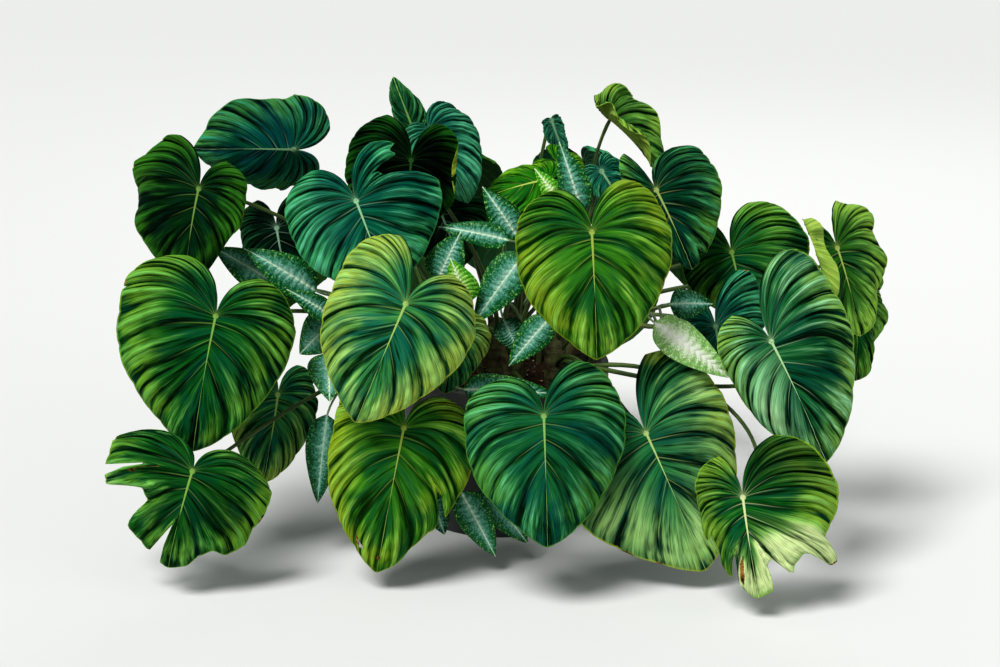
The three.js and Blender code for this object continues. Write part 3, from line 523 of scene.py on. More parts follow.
def add_blade(bm, leaf, form, columns, rows):
    """A thin closed blade. Its UV map holds the vein and the way out along it, and its point
    attributes how far it is from the midrib, how far along, the width between two side veins, its
    marks, and its patches of painted highlight and painted shade. Returns the faces of its under
    side."""
    verts, x, t = grid(bm, columns, rows)
    u = 0.4 * t + 0.6 * t * t * (3 - 2 * t)
    drift = np.sin(11 * x + leaf.seed) * np.sin(4.5 * u + 1.3 * leaf.seed)
    strayed = x + VEIN_STRAY * (drift * np.sin(np.pi * np.abs(x)) * u * (1 - u))
    across, along = flat_point(leaf, form, strayed, u)
    inward = strayed * (1 - PITCH_STEP) + np.where(x < 0, -1e-6, 1e-6)
    beside, behind = flat_point(leaf, form, inward, u)
    moved = np.hypot(beside - across, behind - along) / (np.abs(x) * PITCH_STEP + 1e-6)
    pitch = moved / leaf.veins
    points = bend(leaf, across, along, relief(leaf, x, u))
    fade = np.clip(1 + along / leaf.length, 0, 1)
    ridge = np.exp(-((across / (MIDRIB_TIP + MIDRIB_SPREAD * fade)) ** 2))
    points[:, 2] += leaf.midrib * fade * ridge * (along <= MIDRIB_END)
    values = {name: np.zeros_like(x) for name in VERTEX_VALUES}
    values["seed"] += leaf.seed
    # Patches of painted highlight and sheen, and below 0 of painted shade.
    for *spot, amount in leaf.patches:
        values["light"] += amount * bump_at(x, u, *spot)
    for spot in leaf.marks:
        values["mark"] = np.maximum(values["mark"], bump_at(x, u, *spot))

    uv = bm.loops.layers.uv["UVMap"]
    flat = bm.verts.layers.float_vector["flat"]
    layers = {name: bm.verts.layers.float[name] for name in VERTEX_VALUES}
    turn = blade_frame(leaf)
    index = {v: i for i, v in enumerate(verts)}
    faces = {f for v in verts for f in v.link_faces}
    faces = sorted(faces, key=lambda f: f.calc_center_median()[:])
    gone = set()
    for face in faces:
        corners = [index[v] for v in face.verts]
        for loop, i in zip(face.loops, corners):
            loop[uv].uv = (x[i] * leaf.veins, u[i])
        a, b = np.mean(x[corners]), np.mean(u[corners])
        if any(((a - hx) / w) ** 2 + ((b - hu) / d) ** 2 < 1 for hx, hu, w, d in leaf.holes):
            gone.add(face)
    for vert, i in index.items():
        vert[flat] = (across[i], along[i], pitch[i])
        for name, layer in layers.items():
            vert[layer] = values[name][i]
        vert.co = turn @ Vector(points[i])
    if gone:
        faces = [f for f in faces if f not in gone]
        bmesh.ops.delete(bm, geom=list(gone), context="FACES")
    verts = list({v for f in faces for v in f.verts})
    bmesh.ops.remove_doubles(bm, verts=verts, dist=BLADE_WELD)
    faces = [f for f in faces if f.is_valid]
    bm.normal_update()
    if sum(f.normal.dot(turn.col[2].xyz) * f.calc_area() for f in faces) < 0:
        bmesh.ops.reverse_faces(bm, faces=faces)
        bm.normal_update()
    made = bmesh.ops.extrude_face_region(bm, geom=faces, use_keep_orig=True)["geom"]
    for vert in made:
        if isinstance(vert, bmesh.types.BMVert):
            vert.co += leaf.thickness * vert.normal
    walls = {f for v in faces for e in v.edges for f in e.link_faces}
    upper = {g for g in made if isinstance(g, bmesh.types.BMFace)}
    bmesh.ops.recalc_face_normals(bm, faces=list(walls | upper | set(faces)))
    for face in bm.faces:
        face.smooth = True
    return faces


def bezier(a, b, c, d, steps):
    """Points of a cubic curve."""
    shares = [i / steps for i in range(steps + 1)]
    return [
        (1 - t) ** 3 * a + 3 * t * (1 - t) ** 2 * b + 3 * t * t * (1 - t) * c + t**3 * d
        for t in shares
    ]


def add_tube(bm, path, radii, sides, material):
    """A closed round rod along a path, with a radius at each of its points."""
    last = len(path) - 1
    verts, x, t = grid(bm, sides, last)
    ways = [(path[min(i + 1, last)] - path[max(i - 1, 0)]).normalized() for i in range(last + 1)]
    normal = ways[0].orthogonal().normalized()
    rings = []
    for way in ways:
        normal = (normal - normal.dot(way) * way).normalized()
        rings.append((normal.copy(), way.cross(normal)))
    uv = bm.loops.layers.uv["UVMap"]
    faces = list({f for v in verts for f in v.link_faces})
    for face in faces:
        for loop in face.loops:
            loop[uv].uv = (loop.vert.co.x, (loop.vert.co.y + 1) / 2)
    for vert, angle, share in zip(verts, x * math.pi, t):
        i = round(share * last)
        a, b = rings[i]
        vert.co = path[i] + radii[i] * (math.cos(angle) * a + math.sin(angle) * b)
    bmesh.ops.remove_doubles(bm, verts=verts, dist=TUBE_WELD)
    faces = [f for f in faces if f.is_valid]
    open_edges = {e for f in faces for e in f.edges if e.is_boundary}
    faces += bmesh.ops.holes_fill(bm, edges=list(open_edges), sides=0)["faces"]
    bmesh.ops.recalc_face_normals(bm, faces=faces)
    for face in faces:
        face.smooth = True
        face.material_index = material


def new_bmesh():
    """A bmesh with the layers that the leaf materials read."""
    bm = bmesh.new()
    bm.loops.layers.uv.new("UVMap")
    bm.verts.layers.float_vector.new("flat")
    for name in VERTEX_VALUES:
        bm.verts.layers.float.new(name)
    return bm


def placed(name, data):
    """A new object in the scene."""
    made = bpy.data.objects.new(name, data)
    bpy.context.scene.collection.objects.link(made)
    return made


def finished(bm, name, *materials):
    """The object of a finished bmesh."""
    mesh = bpy.data.meshes.new(name)
    bm.to_mesh(mesh)
    bm.free()
    for material in materials:
        mesh.materials.append(material)
    return placed(name, mesh)


def grown(bm, name, slot, node, *materials):
    """A visible piece of the plant, which stands for its node."""
    piece = finished(bm, name, *materials)
    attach(piece, "root")
    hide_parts(node)


# ---- Materials ----

# Half the width of a midrib's line at the tip, and how much it widens along the blade.
HEART_MIDRIB = (0.0025, 0.022)
UNDER_MIDRIB = (0.0036, 0.012)
SPEAR_MIDRIB = (0.0015, 0.006)
SPEAR_UNDER_MIDRIB = (0.0022, 0.006)
PLEATS = 3
LEVEL_MIDDLE = 2.08
POT_RIM = (0.279, 0.285)
POT_FOOT = (0.05, 0.0)


class Shader:
    """A material, and short ways to add and join its nodes."""

    def __init__(self, name):
        self.material = bpy.data.materials.new(name)
        self.material.use_nodes = True
        self.tree = self.material.node_tree
        self.surface = self.tree.nodes["Principled BSDF"]

    def node(self, kind, **settings):
        made = self.tree.nodes.new("ShaderNode" + kind)
        for key, value in settings.items():
            setattr(made, key, value)
        return made

    def feed(self, socket, value):
        """Joins a socket to another one, or gives it a number or a colour."""
        if isinstance(value, bpy.types.NodeSocket):
            self.tree.links.new(value, socket)
        elif socket.type == "RGBA":
            socket.default_value = (*tuple(value)[:3], 1)
        else:
            socket.default_value = value

    def set(self, **values):
        for key, value in values.items():
            self.feed(self.surface.inputs[key.replace("_", " ")], value)

    def math(self, operation, *values):
        made = self.node("Math", operation=operation)
        for socket, value in zip(made.inputs, values):
            self.feed(socket, value)
        return made.outputs[0]

    def times(self, *values):
        """The product of some values, of which a row is a smooth step."""
        values = [self.smooth(*v) if isinstance(v, tuple) else v for v in values]
        made = values[0]
        for value in values[1:]:
            made = self.math("MULTIPLY", made, value)
        return made

    def plus(self, value, by, base):
        """A value times a number, and more."""
        return self.math("MULTIPLY_ADD", value, by, base)

    def smooth(self, value, low, high):
        """0 at low and 1 at high, which may be the smaller."""
        made = self.node("MapRange", interpolation_type="SMOOTHSTEP")
        flip = not isinstance(high, (int, float)) or low > high
        ends = (value, high, low, 1, 0) if flip else (value, low, high, 0, 1)
        for key, end in zip(("Value", "From Min", "From Max", "To Min", "To Max"), ends):
            self.feed(made.inputs[key], end)
        return made.outputs[0]

    def mix(self, factor, a, b):
        made = self.node("Mix", data_type="RGBA")
        for socket, value in zip((0, 6, 7), (factor, a, b)):
            self.feed(made.inputs[socket], value)
        return made.outputs[2]

    def over(self, tone, colour, *factors):
        """A colour laid over a tone, by the product of the factors."""
        return self.mix(self.times(*factors), tone, colour)

    def split(self, vector):
        made = self.node("SeparateXYZ")
        self.feed(made.inputs[0], vector)
        return made.outputs

    def join(self, x, y, z):
        made = self.node("CombineXYZ")
        for socket, value in zip(made.inputs, (x, y, z)):
            self.feed(socket, value)
        return made.outputs[0]

    def noise(self, vector, scale, detail=2, roughness=0.5):
        made = self.node("TexNoise")
        self.feed(made.inputs["Vector"], vector)
        made.inputs["Scale"].default_value = scale
        made.inputs["Detail"].default_value = detail
        made.inputs["Roughness"].default_value = roughness
        return made.outputs[0]

    def drawn(self, lines, across, along, detail=2, roughness=0.5):
        """Noise drawn out along lines, given by the places across and along them and a seed."""
        x, y, seed = lines
        place = self.join(self.times(x, across), self.times(y, along), seed)
        return self.noise(place, 1, detail, roughness)

    def place(self):
        return self.node("TexCoord").outputs["Object"]

    def uv(self):
        return self.split(self.node("UVMap", uv_map="UVMap").outputs[0])

    def attribute(self, name, output="Fac"):
        return self.node("Attribute", attribute_name=name).outputs[output]

    def veins(self):
        """The distance from the midrib, the place along it, the width between two side veins, and
        the lines of the veins."""
        across, along, pitch = self.split(self.attribute("flat", "Vector"))
        vein, out, _ = self.uv()
        return across, along, pitch, (vein, out, self.attribute("seed"))

    def bump(self, height, distance, strength=1.0):
        made = self.node("Bump")
        made.inputs["Strength"].default_value = strength
        made.inputs["Distance"].default_value = distance
        self.feed(made.inputs["Height"], height)
        self.set(Normal=made.outputs[0])


def heart_upper(look, colours):
    """The upper face of a ribbed blade: painted highlights on the crests, painted shade in the
    grooves and creases, patches of painted light and shade, pale veins, and a warmer margin."""
    s = Shader(f"heart_{look}")
    across, along, pitch, lines = s.veins()
    vein, out, _ = lines
    side = s.math("PINGPONG", vein, 0.5)
    away = s.times(side, pitch)
    broad = s.drawn(lines, 1.3, 1.6)
    streak = s.drawn(lines, 5, 1.3, 3, 0.6)
    fine = s.drawn(lines, 13, 3)
    patch = s.noise(s.place(), 9)
    pleat = s.times(s.math("PINGPONG", s.times(vein, PLEATS), 0.5), 2)
    outer = s.smooth(out, 0.05, 0.65)

    # From painted shade in the grooves at the side veins to painted highlight on the crests
    # between them, with streaks and patches of tone.
    shade_to_highlight = s.times((side, 0.0, 0.4), 0.36)
    parts = (s.times(pleat, outer), 0.34), (streak, 1.7), (fine, 0.9), (broad, 0.8), (patch, 0.6)
    for part, weight in parts:
        shade_to_highlight = s.plus(part, weight, shade_to_highlight)
    shade_to_highlight = s.math("SUBTRACT", shade_to_highlight, LEVEL_MIDDLE)
    tone = s.mix(s.smooth(shade_to_highlight, -0.15, 0.42), colours.groove, colours.blade)
    # A teal tint in broad streaks: partly the leaf's own, partly a painted sheen.
    tone = s.over(tone, colours.cool, (broad, 0.56, 0.42), (streak, 0.4, 0.56), 0.8)
    warm = (out, 0.3, 0.95), (patch, 0.38, 0.58), (shade_to_highlight, 0.0, 0.4)
    tone = s.over(tone, colours.margin, *warm, 0.85)
    # Painted highlight on the crests, stronger away from the seat.
    tone = s.over(tone, colours.crest, (shade_to_highlight, 0.36, 0.9), s.plus(outer, 0.8, 0.2))
    # Light patches: painted highlight and sheen, and on the torn leaves partly pale faded tissue.
    light = s.attribute("light")
    bleach_and_highlight = s.over(colours.crest, BLEACH_AND_HIGHLIGHT, (light, 0.5, 1.2), 0.8)
    tone = s.over(tone, bleach_and_highlight, (light, 0.0, 1.0), (shade_to_highlight, -0.2, 0.4))
    # Fine streaks of the parallel veins, with painted shade in their creases and painted highlight
    # on their crests.
    hair = s.drawn(lines, 26, 2.6, 2, 0.6)
    tone = s.over(tone, colours.cool, (hair, 0.5, 0.36), 0.5)
    tone = s.over(tone, colours.crest, (hair, 0.6, 0.72), outer, (shade_to_highlight, 0.0, 0.5), 0.4)
    thread = s.drawn(lines, 58, 3.4, 1)
    calm = s.smooth(light, 1.2, 0.3)
    tone = s.over(tone, colours.groove, (thread, 0.46, 0.3), outer, calm, 0.5)
    tone = s.over(tone, colours.crest, (thread, 0.54, 0.7), outer, (shade_to_highlight, 0.1, 0.6), 0.45)
    # Patches below 0 lay painted shade.
    tone = s.mix(s.smooth(light, 0.0, -1.0), tone, colours.groove)
    # Painted shade in the pleats' creases and along the side veins, weaker under light patches.
    crease_shade = ((pleat, 0.45, 0.0), (out, 0.3, 0.8), (streak, 0.6, 0.4), 0.5)
    low = ((side, 0.12, 0.0), (out, 0.0, 0.4), (streak, 0.7, 0.34), 0.8)
    deep = s.math("MAXIMUM", s.times(*crease_shade), s.times(*low))
    tone = s.over(tone, colours.groove, deep, s.plus(calm, 0.7, 0.3))

    line = s.times((away, 0.0017, 0.0002), (out, 0.5, 0.0), 0.42)
    tip, widening = HEART_MIDRIB
    half = s.math("MAXIMUM", s.plus(along, widening, tip), 0.0005)
    spine = s.smooth(s.math("ABSOLUTE", across), half, s.times(half, 0.6))
    spine = s.times(spine, (along, 0.006, 0.0))
    seat = s.math("SQRT", s.math("ADD", s.times(across, across), s.times(along, along)))
    pale = s.math("MAXIMUM", s.math("MAXIMUM", line, spine), s.smooth(seat, 0.006, 0.003))
    tone = s.mix(pale, tone, colours.vein)
    # A thin rim of the margin colour at the very edge: partly the leaf's own yellowish edge,
    # partly a painted highlight where the edge catches the light.
    tone = s.over(tone, colours.margin, (out, 0.965, 0.992), 0.75)
    spot = s.noise(s.place(), 90, 3)
    ragged = s.plus(s.math("SUBTRACT", spot, 0.5), 0.9, s.attribute("mark"))
    scar = s.mix(s.smooth(spot, 0.4, 0.6), SCAR_PALE, SCAR_DARK)
    tone = s.mix(s.smooth(ragged, 0.4, 0.6), tone, scar)
    s.set(Base_Color=tone, Roughness=s.plus(streak, 0.25, 0.3), Specular_IOR_Level=0.02)
    height = s.times((side, 0.0, 0.5), outer, 0.6)
    height = s.plus(s.times(pleat, outer), 0.35, height)
    s.bump(s.plus(fine, 0.25, height), 0.006, 0.8)
    return s.material


def heart_under(look, colours):
    """The paler under face, with its veins standing out."""
    s = Shader(f"heart_{look}_under")
    across, along, pitch, lines = s.veins()
    vein, out, _ = lines
    away = s.times(s.math("PINGPONG", vein, 0.5), pitch)
    streak = s.drawn(lines, 6, 1.5)
    tone = s.mix(s.smooth(streak, 0.3, 0.7), colours.under, colours.blade)
    tone = s.mix(0.6, tone, colours.under)
    pleat = (s.math("PINGPONG", s.times(vein, PLEATS), 0.5), 0.2, 0.0)
    tone = s.over(tone, colours.blade, pleat, (out, 0.2, 0.7), 0.4)
    line = s.times((away, 0.0016, 0.0006), (out, 1.0, 0.2))
    tip, widening = UNDER_MIDRIB
    spine = s.math("LESS_THAN", s.math("ABSOLUTE", across), s.plus(along, widening, tip))
    tone = s.over(tone, colours.vein, s.math("MAXIMUM", line, spine), 0.8)
    s.set(Base_Color=tone, Roughness=0.55, Specular_IOR_Level=0.12)
    s.bump(s.math("ADD", line, s.times(streak, 0.4)), 0.001, 0.6)
    return s.material


def spear_upper(look, colours):
    """A pale feathered centre on a dark blade, with pale specks and a white midrib."""
    s = Shader(f"spear_{look}")
    across, along, _, lines = s.veins()
    vein, out, _ = lines
    feather = s.drawn(lines, 1.6, 1.1, 4, 0.65)
    cells = s.noise(s.place(), 320, 3, 0.6)
    reach = s.plus(s.math("SUBTRACT", 0.5, feather), 0.9, out)
    reach = s.plus(s.math("SUBTRACT", 0.5, cells), 1.5, reach)
    reach = s.math("SUBTRACT", reach, s.attribute("light"))
    silver = s.smooth(reach, 0.84, 0.4)
    tone = s.mix(silver, colours.blade, colours.haze)
    tone = s.over(tone, colours.centre, silver, (reach, 0.5, 0.0))
    tone = s.over(tone, colours.speck, (cells, 0.55, 0.63), (silver, 0.9, 0.2), 0.85)
    side = s.math("PINGPONG", vein, 0.5)
    tone = s.over(tone, colours.blade, (side, 0.16, 0.0), (out, 0.1, 0.4), 0.35)
    tip, widening = SPEAR_MIDRIB
    narrow = s.plus(along, widening, tip)
    wide = s.math("ADD", narrow, 0.0006)
    tone = s.mix(s.smooth(s.math("ABSOLUTE", across), wide, narrow), tone, colours.vein)
    s.set(Base_Color=tone, Roughness=s.plus(cells, 0.2, 0.3), Specular_IOR_Level=0.15)
    s.bump(s.math("ADD", feather, s.smooth(side, 0.0, 0.4)), 0.0016, 0.6)
    return s.material


def spear_under(look, colours):
    """The paler under face of a spear-shaped blade."""
    s = Shader(f"spear_{look}_under")
    across, along, _ = s.split(s.attribute("flat", "Vector"))
    patch = s.noise(s.place(), 60, 3)
    tone = s.mix(s.smooth(patch, 0.3, 0.7), colours.under, colours.centre)
    tip, widening = SPEAR_UNDER_MIDRIB
    spine = s.math("LESS_THAN", s.math("ABSOLUTE", across), s.plus(along, widening, tip))
    s.set(Base_Color=s.mix(spine, tone, colours.vein), Roughness=0.55)
    s.bump(patch, 0.0005, 0.4)
    return s.material


def stalk_material(name, light, dark):
    """A leaf stalk, streaked along its length."""
    s = Shader(name)
    turn, up, _ = s.uv()
    streak = s.drawn((turn, up, 0.0), 7, 5, 3)
    tone = s.mix(s.smooth(streak, 0.35, 0.65), dark, light)
    tone = s.over(tone, dark, (s.noise(s.place(), 24), 0.4, 0.7), 0.5)
    s.set(Base_Color=tone, Roughness=0.45, Specular_IOR_Level=0.4)
    s.bump(streak, 0.0006, 0.6)
    return s.material


def crown_material(settings):
    """Old stem: scarred, with brown papery remains."""
    s = Shader("crown_stem")
    place = s.place()
    x, y, z = s.split(place)
    ring = s.noise(s.join(s.times(x, 12), s.times(y, 12), s.times(z, 220)), 1)
    patch = s.noise(place, 60, 3)
    tone = s.mix(s.smooth(patch, 0.35, 0.65), settings.stem, settings.scar)
    tone = s.over(tone, settings.scar, (ring, 0.5, 0.7), 0.6)
    s.set(Base_Color=tone, Roughness=0.75)
    s.bump(s.math("ADD", ring, patch), 0.0015, 0.7)
    return s.material


def soil_material(settings):
    """Dark damp potting soil."""
    s = Shader("potting_soil")
    place = s.place()
    grain = s.noise(place, 260, 5, 0.7)
    tone = s.mix(s.smooth(grain, 0.4, 0.62), settings.dark, settings.light)
    tone = s.over(tone, settings.dark, (s.noise(place, 30, 3), 0.4, 0.7), 0.5)
    s.set(Base_Color=tone, Roughness=0.95, Specular_IOR_Level=0.2)
    s.bump(grain, 0.003, 0.9)
    return s.material


def chip_material(name, light, dark):
    """Bark or perlite mixed into the soil."""
    s = Shader(name)
    grain = s.noise(s.place(), 180, 4)
    s.set(Base_Color=s.mix(s.smooth(grain, 0.35, 0.65), dark, light), Roughness=0.85)
    s.bump(grain, 0.001, 0.8)
    return s.material


def pot_material(settings):
    """Matt moulded plastic with a fine grain, paler where the rim is rubbed."""
    s = Shader("pot_shell")
    place = s.place()
    grain, patch, rub = s.noise(place, 900), s.noise(place, 14, 4), s.noise(place, 70, 4)
    height = s.split(place)[2]
    rim = s.times((height, *POT_RIM), (rub, 0.45, 0.6))
    dust = s.times((height, *POT_FOOT), (patch, 0.3, 0.7))
    tone = s.over(settings.shell, settings.worn, (patch, 0.35, 0.7), 0.35)
    tone = s.mix(s.math("MAXIMUM", s.times(rim, 0.5), s.times(dust, 0.4)), tone, settings.worn)
    s.set(Base_Color=tone, Roughness=s.plus(patch, 0.3, 0.42), Specular_IOR_Level=0.4)
    s.bump(grain, 0.0003, 0.4)
    return s.material


def floor_material(settings):
    """A plain matt floor."""
    s = Shader("pale_floor")
    s.set(Base_Color=settings.floor, Roughness=0.9, Specular_IOR_Level=0.1)
    return s.material


# ---- Settings ----


def colour(name, description, code):
    kind = dict(subtype="COLOR", size=3, min=0, max=1)
    return FloatVectorProperty(name=name, description=description, default=linear(code), **kind)


def size(name, description, default):
    return strength(name, description, default, "LENGTH")


def count(name, description, default, least=0):
    return IntProperty(name=name, description=description, default=default, min=least)


def strength(name, description, default, unit="NONE"):
    return FloatProperty(name=name, description=description, default=default, min=0, unit=unit)


def colour_groups(kind, parts, looks):
    """For each look of a kind of leaf, a property group that holds its colours."""
    groups = {}
    for look, codes in looks.items():
        held = {
            part: colour(part.title(), f"{part.title()} colour of a {look} {kind} leaf", code)
            for part, code in zip(parts.split(), codes.split())
        }
        base = (bpy.types.PropertyGroup,)
        groups[look] = type(f"PLANT_PG_{look}_{kind}", base, {"__annotations__": held})
    return groups


def pointers(groups):
    return {look: PointerProperty(type=group, name=look.title()) for look, group in groups.items()}


HEART_GROUPS = colour_groups("heart", HEART_PARTS, HEART_LOOKS)
SPEAR_GROUPS = colour_groups("spear", SPEAR_PARTS, SPEAR_LOOKS)


class PLANT_PG_heart(bpy.types.PropertyGroup):
    """Sizes and colours of the ribbed leaves."""

    veins: count("Side veins", "Side veins in each half of a blade", 8, 4)
    pleats: count("Pleats", "Pleats between two side veins", PLEATS, 1)
    rib_height: size("Rib height", "How far a rib stands out of the blade", 0.0075)
    pleat_height: size("Pleat height", "How far a pleat stands out of its rib", 0.002)
    swell: size("Swell", "How far the blade undulates", 0.0045)
    dimple: size("Dimple", "How far the blade puckers between its veins", 0.0012)
    midrib: size("Midrib height", "How far the midrib stands out of the upper face", 0.0011)
    thickness: size("Thickness", "Thickness of a blade", 0.0008)
    stalk_foot: size("Stalk foot", "Radius of a leaf stalk at the crown", 0.0046)
    stalk_neck: size("Stalk neck", "Radius of a leaf stalk at the blade", 0.0031)
    stalk_light: colour("Stalk", "Light streaks of a leaf stalk", "5f7a36")
    stalk_dark: colour("Stalk streaks", "Dark streaks of a leaf stalk", "1e3016")
    __annotations__.update(pointers(HEART_GROUPS))


class PLANT_PG_spear(bpy.types.PropertyGroup):
    """Sizes and colours of the silver-marked leaves and their canes."""

    veins: count("Side veins", "Side veins in each half of a blade", 12, 4)
    pleat_height: size("Pleat height", "How far a pleat stands out of the blade", 0.0004)
    wave: size("Wave", "How far the margin waves", 0.0016)
    midrib: size("Midrib height", "How far the midrib stands out of the upper face", 0.0006)
    thickness: size("Thickness", "Thickness of a blade", 0.0008)
    cane_foot: size("Cane foot", "Radius of a cane in the soil", 0.0059)
    cane_tip: size("Cane tip", "Radius of a cane at its tip", 0.004)
    stalk_foot: size("Stalk foot", "Radius of a leaf stalk at the cane", 0.0032)
    stalk_neck: size("Stalk neck", "Radius of a leaf stalk at the blade", 0.0019)
    cane_light: colour("Cane", "Light streaks of a cane", "6f7d4a")
    cane_dark: colour("Cane streaks", "Dark streaks of a cane", "3a3f24")
    stalk_light: colour("Stalk", "Light streaks of a leaf stalk", "a9bf94")
    stalk_dark: colour("Stalk streaks", "Dark streaks of a leaf stalk", "5b7d4e")
    __annotations__.update(pointers(SPEAR_GROUPS))


class PLANT_PG_pot(bpy.types.PropertyGroup):
    """Sizes and colours of the pot, the soil and the crowns in it."""

    wall: size("Wall", "Thickness of the pot's wall", 0.008)
    floor: size("Floor", "Thickness of the pot's floor", 0.012)
    foot: size("Foot", "Radius of the pot at its foot", 0.148)
    band_height: size("Rim band", "Height of the band round the rim", 0.034)
    band_proud: size("Band proud", "How far the band stands out of the pot", 0.005)
    edge: size("Edge radius", "Radius of the pot's edges", 0.0025)
    shell: colour("Pot", "Colour of the pot", "272a29")
    worn: colour("Worn pot", "Colour of the pot where it is rubbed or dusty", "505250")
    dark: colour("Soil", "Dark colour of the soil", "1c130c")
    light: colour("Soil crumbs", "Light colour of the soil", "4f3a26")
    mound: size("Mound", "How much higher the soil is in the middle", 0.012)
    chips: count("Chips", "Pieces of bark and perlite on the soil", 260)
    stem: colour("Crown", "Colour of a crown", "5d6038")
    scar: colour("Crown scars", "Colour of a crown's scars", "3a2a18")


class PLANT_PG_stage(bpy.types.PropertyGroup):
    """The floor, the lights and the camera."""

    floor: colour("Floor", "Colour of the floor", "d2d2d0")
    floor_size: size("Floor size", "Half the floor's side", 30.0)
    distance: size("Distance", "Distance from the camera to the plant", 4.0)
    aim: size("Aim", "Height that the camera looks at", 0.335)
    elevation: FloatProperty(
        name="Elevation",
        description="How far the camera looks down",
        default=math.radians(17),
        unit="ROTATION",
    )
    key: strength("Key light", "Strength of the key light", 3.2)
    fill: strength("Fill light", "Power of the fill light", 14, "POWER")
    sky: strength("Sky", "Strength of the light from all round", 0.28)


class PLANT_PG_settings(bpy.types.PropertyGroup):
    """All settings of the plant."""

    heart: PointerProperty(type=PLANT_PG_heart)
    spear: PointerProperty(type=PLANT_PG_spear)
    pot: PointerProperty(type=PLANT_PG_pot)
    stage: PointerProperty(type=PLANT_PG_stage)


# ---- Heart-shaped leaves ----

ROOT_REACH, SET_BACK = 0.01, 0.0006
STALK_STEPS, STALK_SIDES = 28, 10
# How much a stalk swells, and over which share of it, at its sheath and at its joint.
SHEATH, SHEATH_SHARE = 0.12, 0.1
JOINT, JOINT_SHARE, JOINT_PLACE = 0.22, 0.035, 0.95
TAPER_PACE, TAPER_EASE = 1.15, 0.8
# Columns between two veins, and rows, of a blade.
LARGE_GRID, SMALL_GRID = (12, 26), (9, 18)
FULL_LENGTH = 0.2
SEED_STEP = 1.7
HEART_SIZES = (
    "veins", "pleats", "rib_height", "pleat_height", "swell", "dimple", "midrib", "thickness"
)


def stalk_path(leaf, steps):
    """The way of a leaf stalk: out of its crown, up in an arch, and into the back of the blade."""
    low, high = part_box("crown_" + leaf.crown)
    centre = (low + high) / 2
    right, back, face, seat = (blade_frame(leaf).col[i].xyz for i in range(4))
    away = Vector((seat.x - centre.x, seat.y - centre.y, 0))
    length = math.hypot(away.length, seat.z - leaf.root)
    away = Matrix.Rotation(math.radians(leaf.swing), 3, "Z") @ away.normalized()
    root = Vector((centre.x, centre.y, leaf.root)) + ROOT_REACH * away
    climb = math.radians(leaf.climb)
    rise = math.cos(climb) * away + Vector((0, 0, math.sin(climb)))
    first = root + leaf.spring * length * rise
    second = seat + length * (leaf.hook * back + leaf.sway * right - leaf.neck * face)
    return bezier(root, first, second, seat - SET_BACK * face, steps)


def swelling(steps, foot, neck):
    """Radii along a leaf stalk: wide at its sheath, slender, and a little thicker at the joint
    below the blade."""
    radii = []
    for i in range(steps + 1):
        t = i / steps
        sheath = foot * SHEATH * math.exp(-((t / SHEATH_SHARE) ** 2))
        joint = neck * JOINT * math.exp(-(((t - JOINT_PLACE) / JOINT_SHARE) ** 2))
        taper = (neck - foot) * min(1, t * TAPER_PACE) ** TAPER_EASE
        radii.append(foot + taper + sheath + joint)
    return radii


def faces_of(looks, settings, upper, under):
    """The materials of the upper and the under face of each look, in turn."""
    pairs = ((look, getattr(settings, look)) for look in looks)
    return [make(look, colours) for look, colours in pairs for make in (upper, under)]


class PLANT_OT_heart_leaves(bpy.types.Operator):
    """Builds each ribbed heart-shaped leaf with its stalk"""

    bl_idname = "plant.heart_leaves"
    bl_label = "Ribbed leaves"

    def execute(self, context):
        settings = context.scene.plant.heart
        stalk = stalk_material("leaf_stalk", settings.stalk_light, settings.stalk_dark)
        faces = faces_of(HEART_LOOKS, settings, heart_upper, heart_under)
        radii = swelling(STALK_STEPS, settings.stalk_foot, settings.stalk_neck)
        for number, (name, leaf) in enumerate(LEAVES.items()):
            leaf.seed = number * SEED_STEP
            for key in HEART_SIZES:
                setattr(leaf, key, getattr(settings, key))
            share = min(1, leaf.length / FULL_LENGTH)
            leaf.rib_height *= share
            leaf.swell *= share
            bm = new_bmesh()
            columns, rows = LARGE_GRID if leaf.large else SMALL_GRID
            for face in add_blade(bm, leaf, HEART_FORM, 2 * leaf.veins * columns, rows):
                face.material_index = 1
            add_tube(bm, stalk_path(leaf, STALK_STEPS), radii, STALK_SIDES, 2)
            first = 2 * list(HEART_LOOKS).index(leaf.look)
            pair = faces[first : first + 2]
            grown(bm, "heart_leaf_" + name, "leaf", "leaf_" + name, *pair, stalk)
        return {"FINISHED"}


# ---- Canes of spear-shaped leaves ----

SOIL_TOP = 0.258
CANE_DEPTH, CANE_UPRIGHT = 0.044, 0.014
CANE_STEPS, CANE_SIDES = 60, 10
CANE_RING, RING_EVERY = 1.1, 6
STALK_REACH, STALK_RISE, STALK_OVERLAP = 0.3, 0.25, 0.008
SPEAR_STALK_STEPS, SPEAR_STALK_SIDES, STALK_POINT = 14, 8, 0.3
CURVE_STEPS = 40
SPEAR_GRID = (4, 12)
CANE_SEED, LEAF_SEED = 3.1, 0.9
SPEAR_SIZES = ("veins", "pleat_height", "wave", "midrib", "thickness")


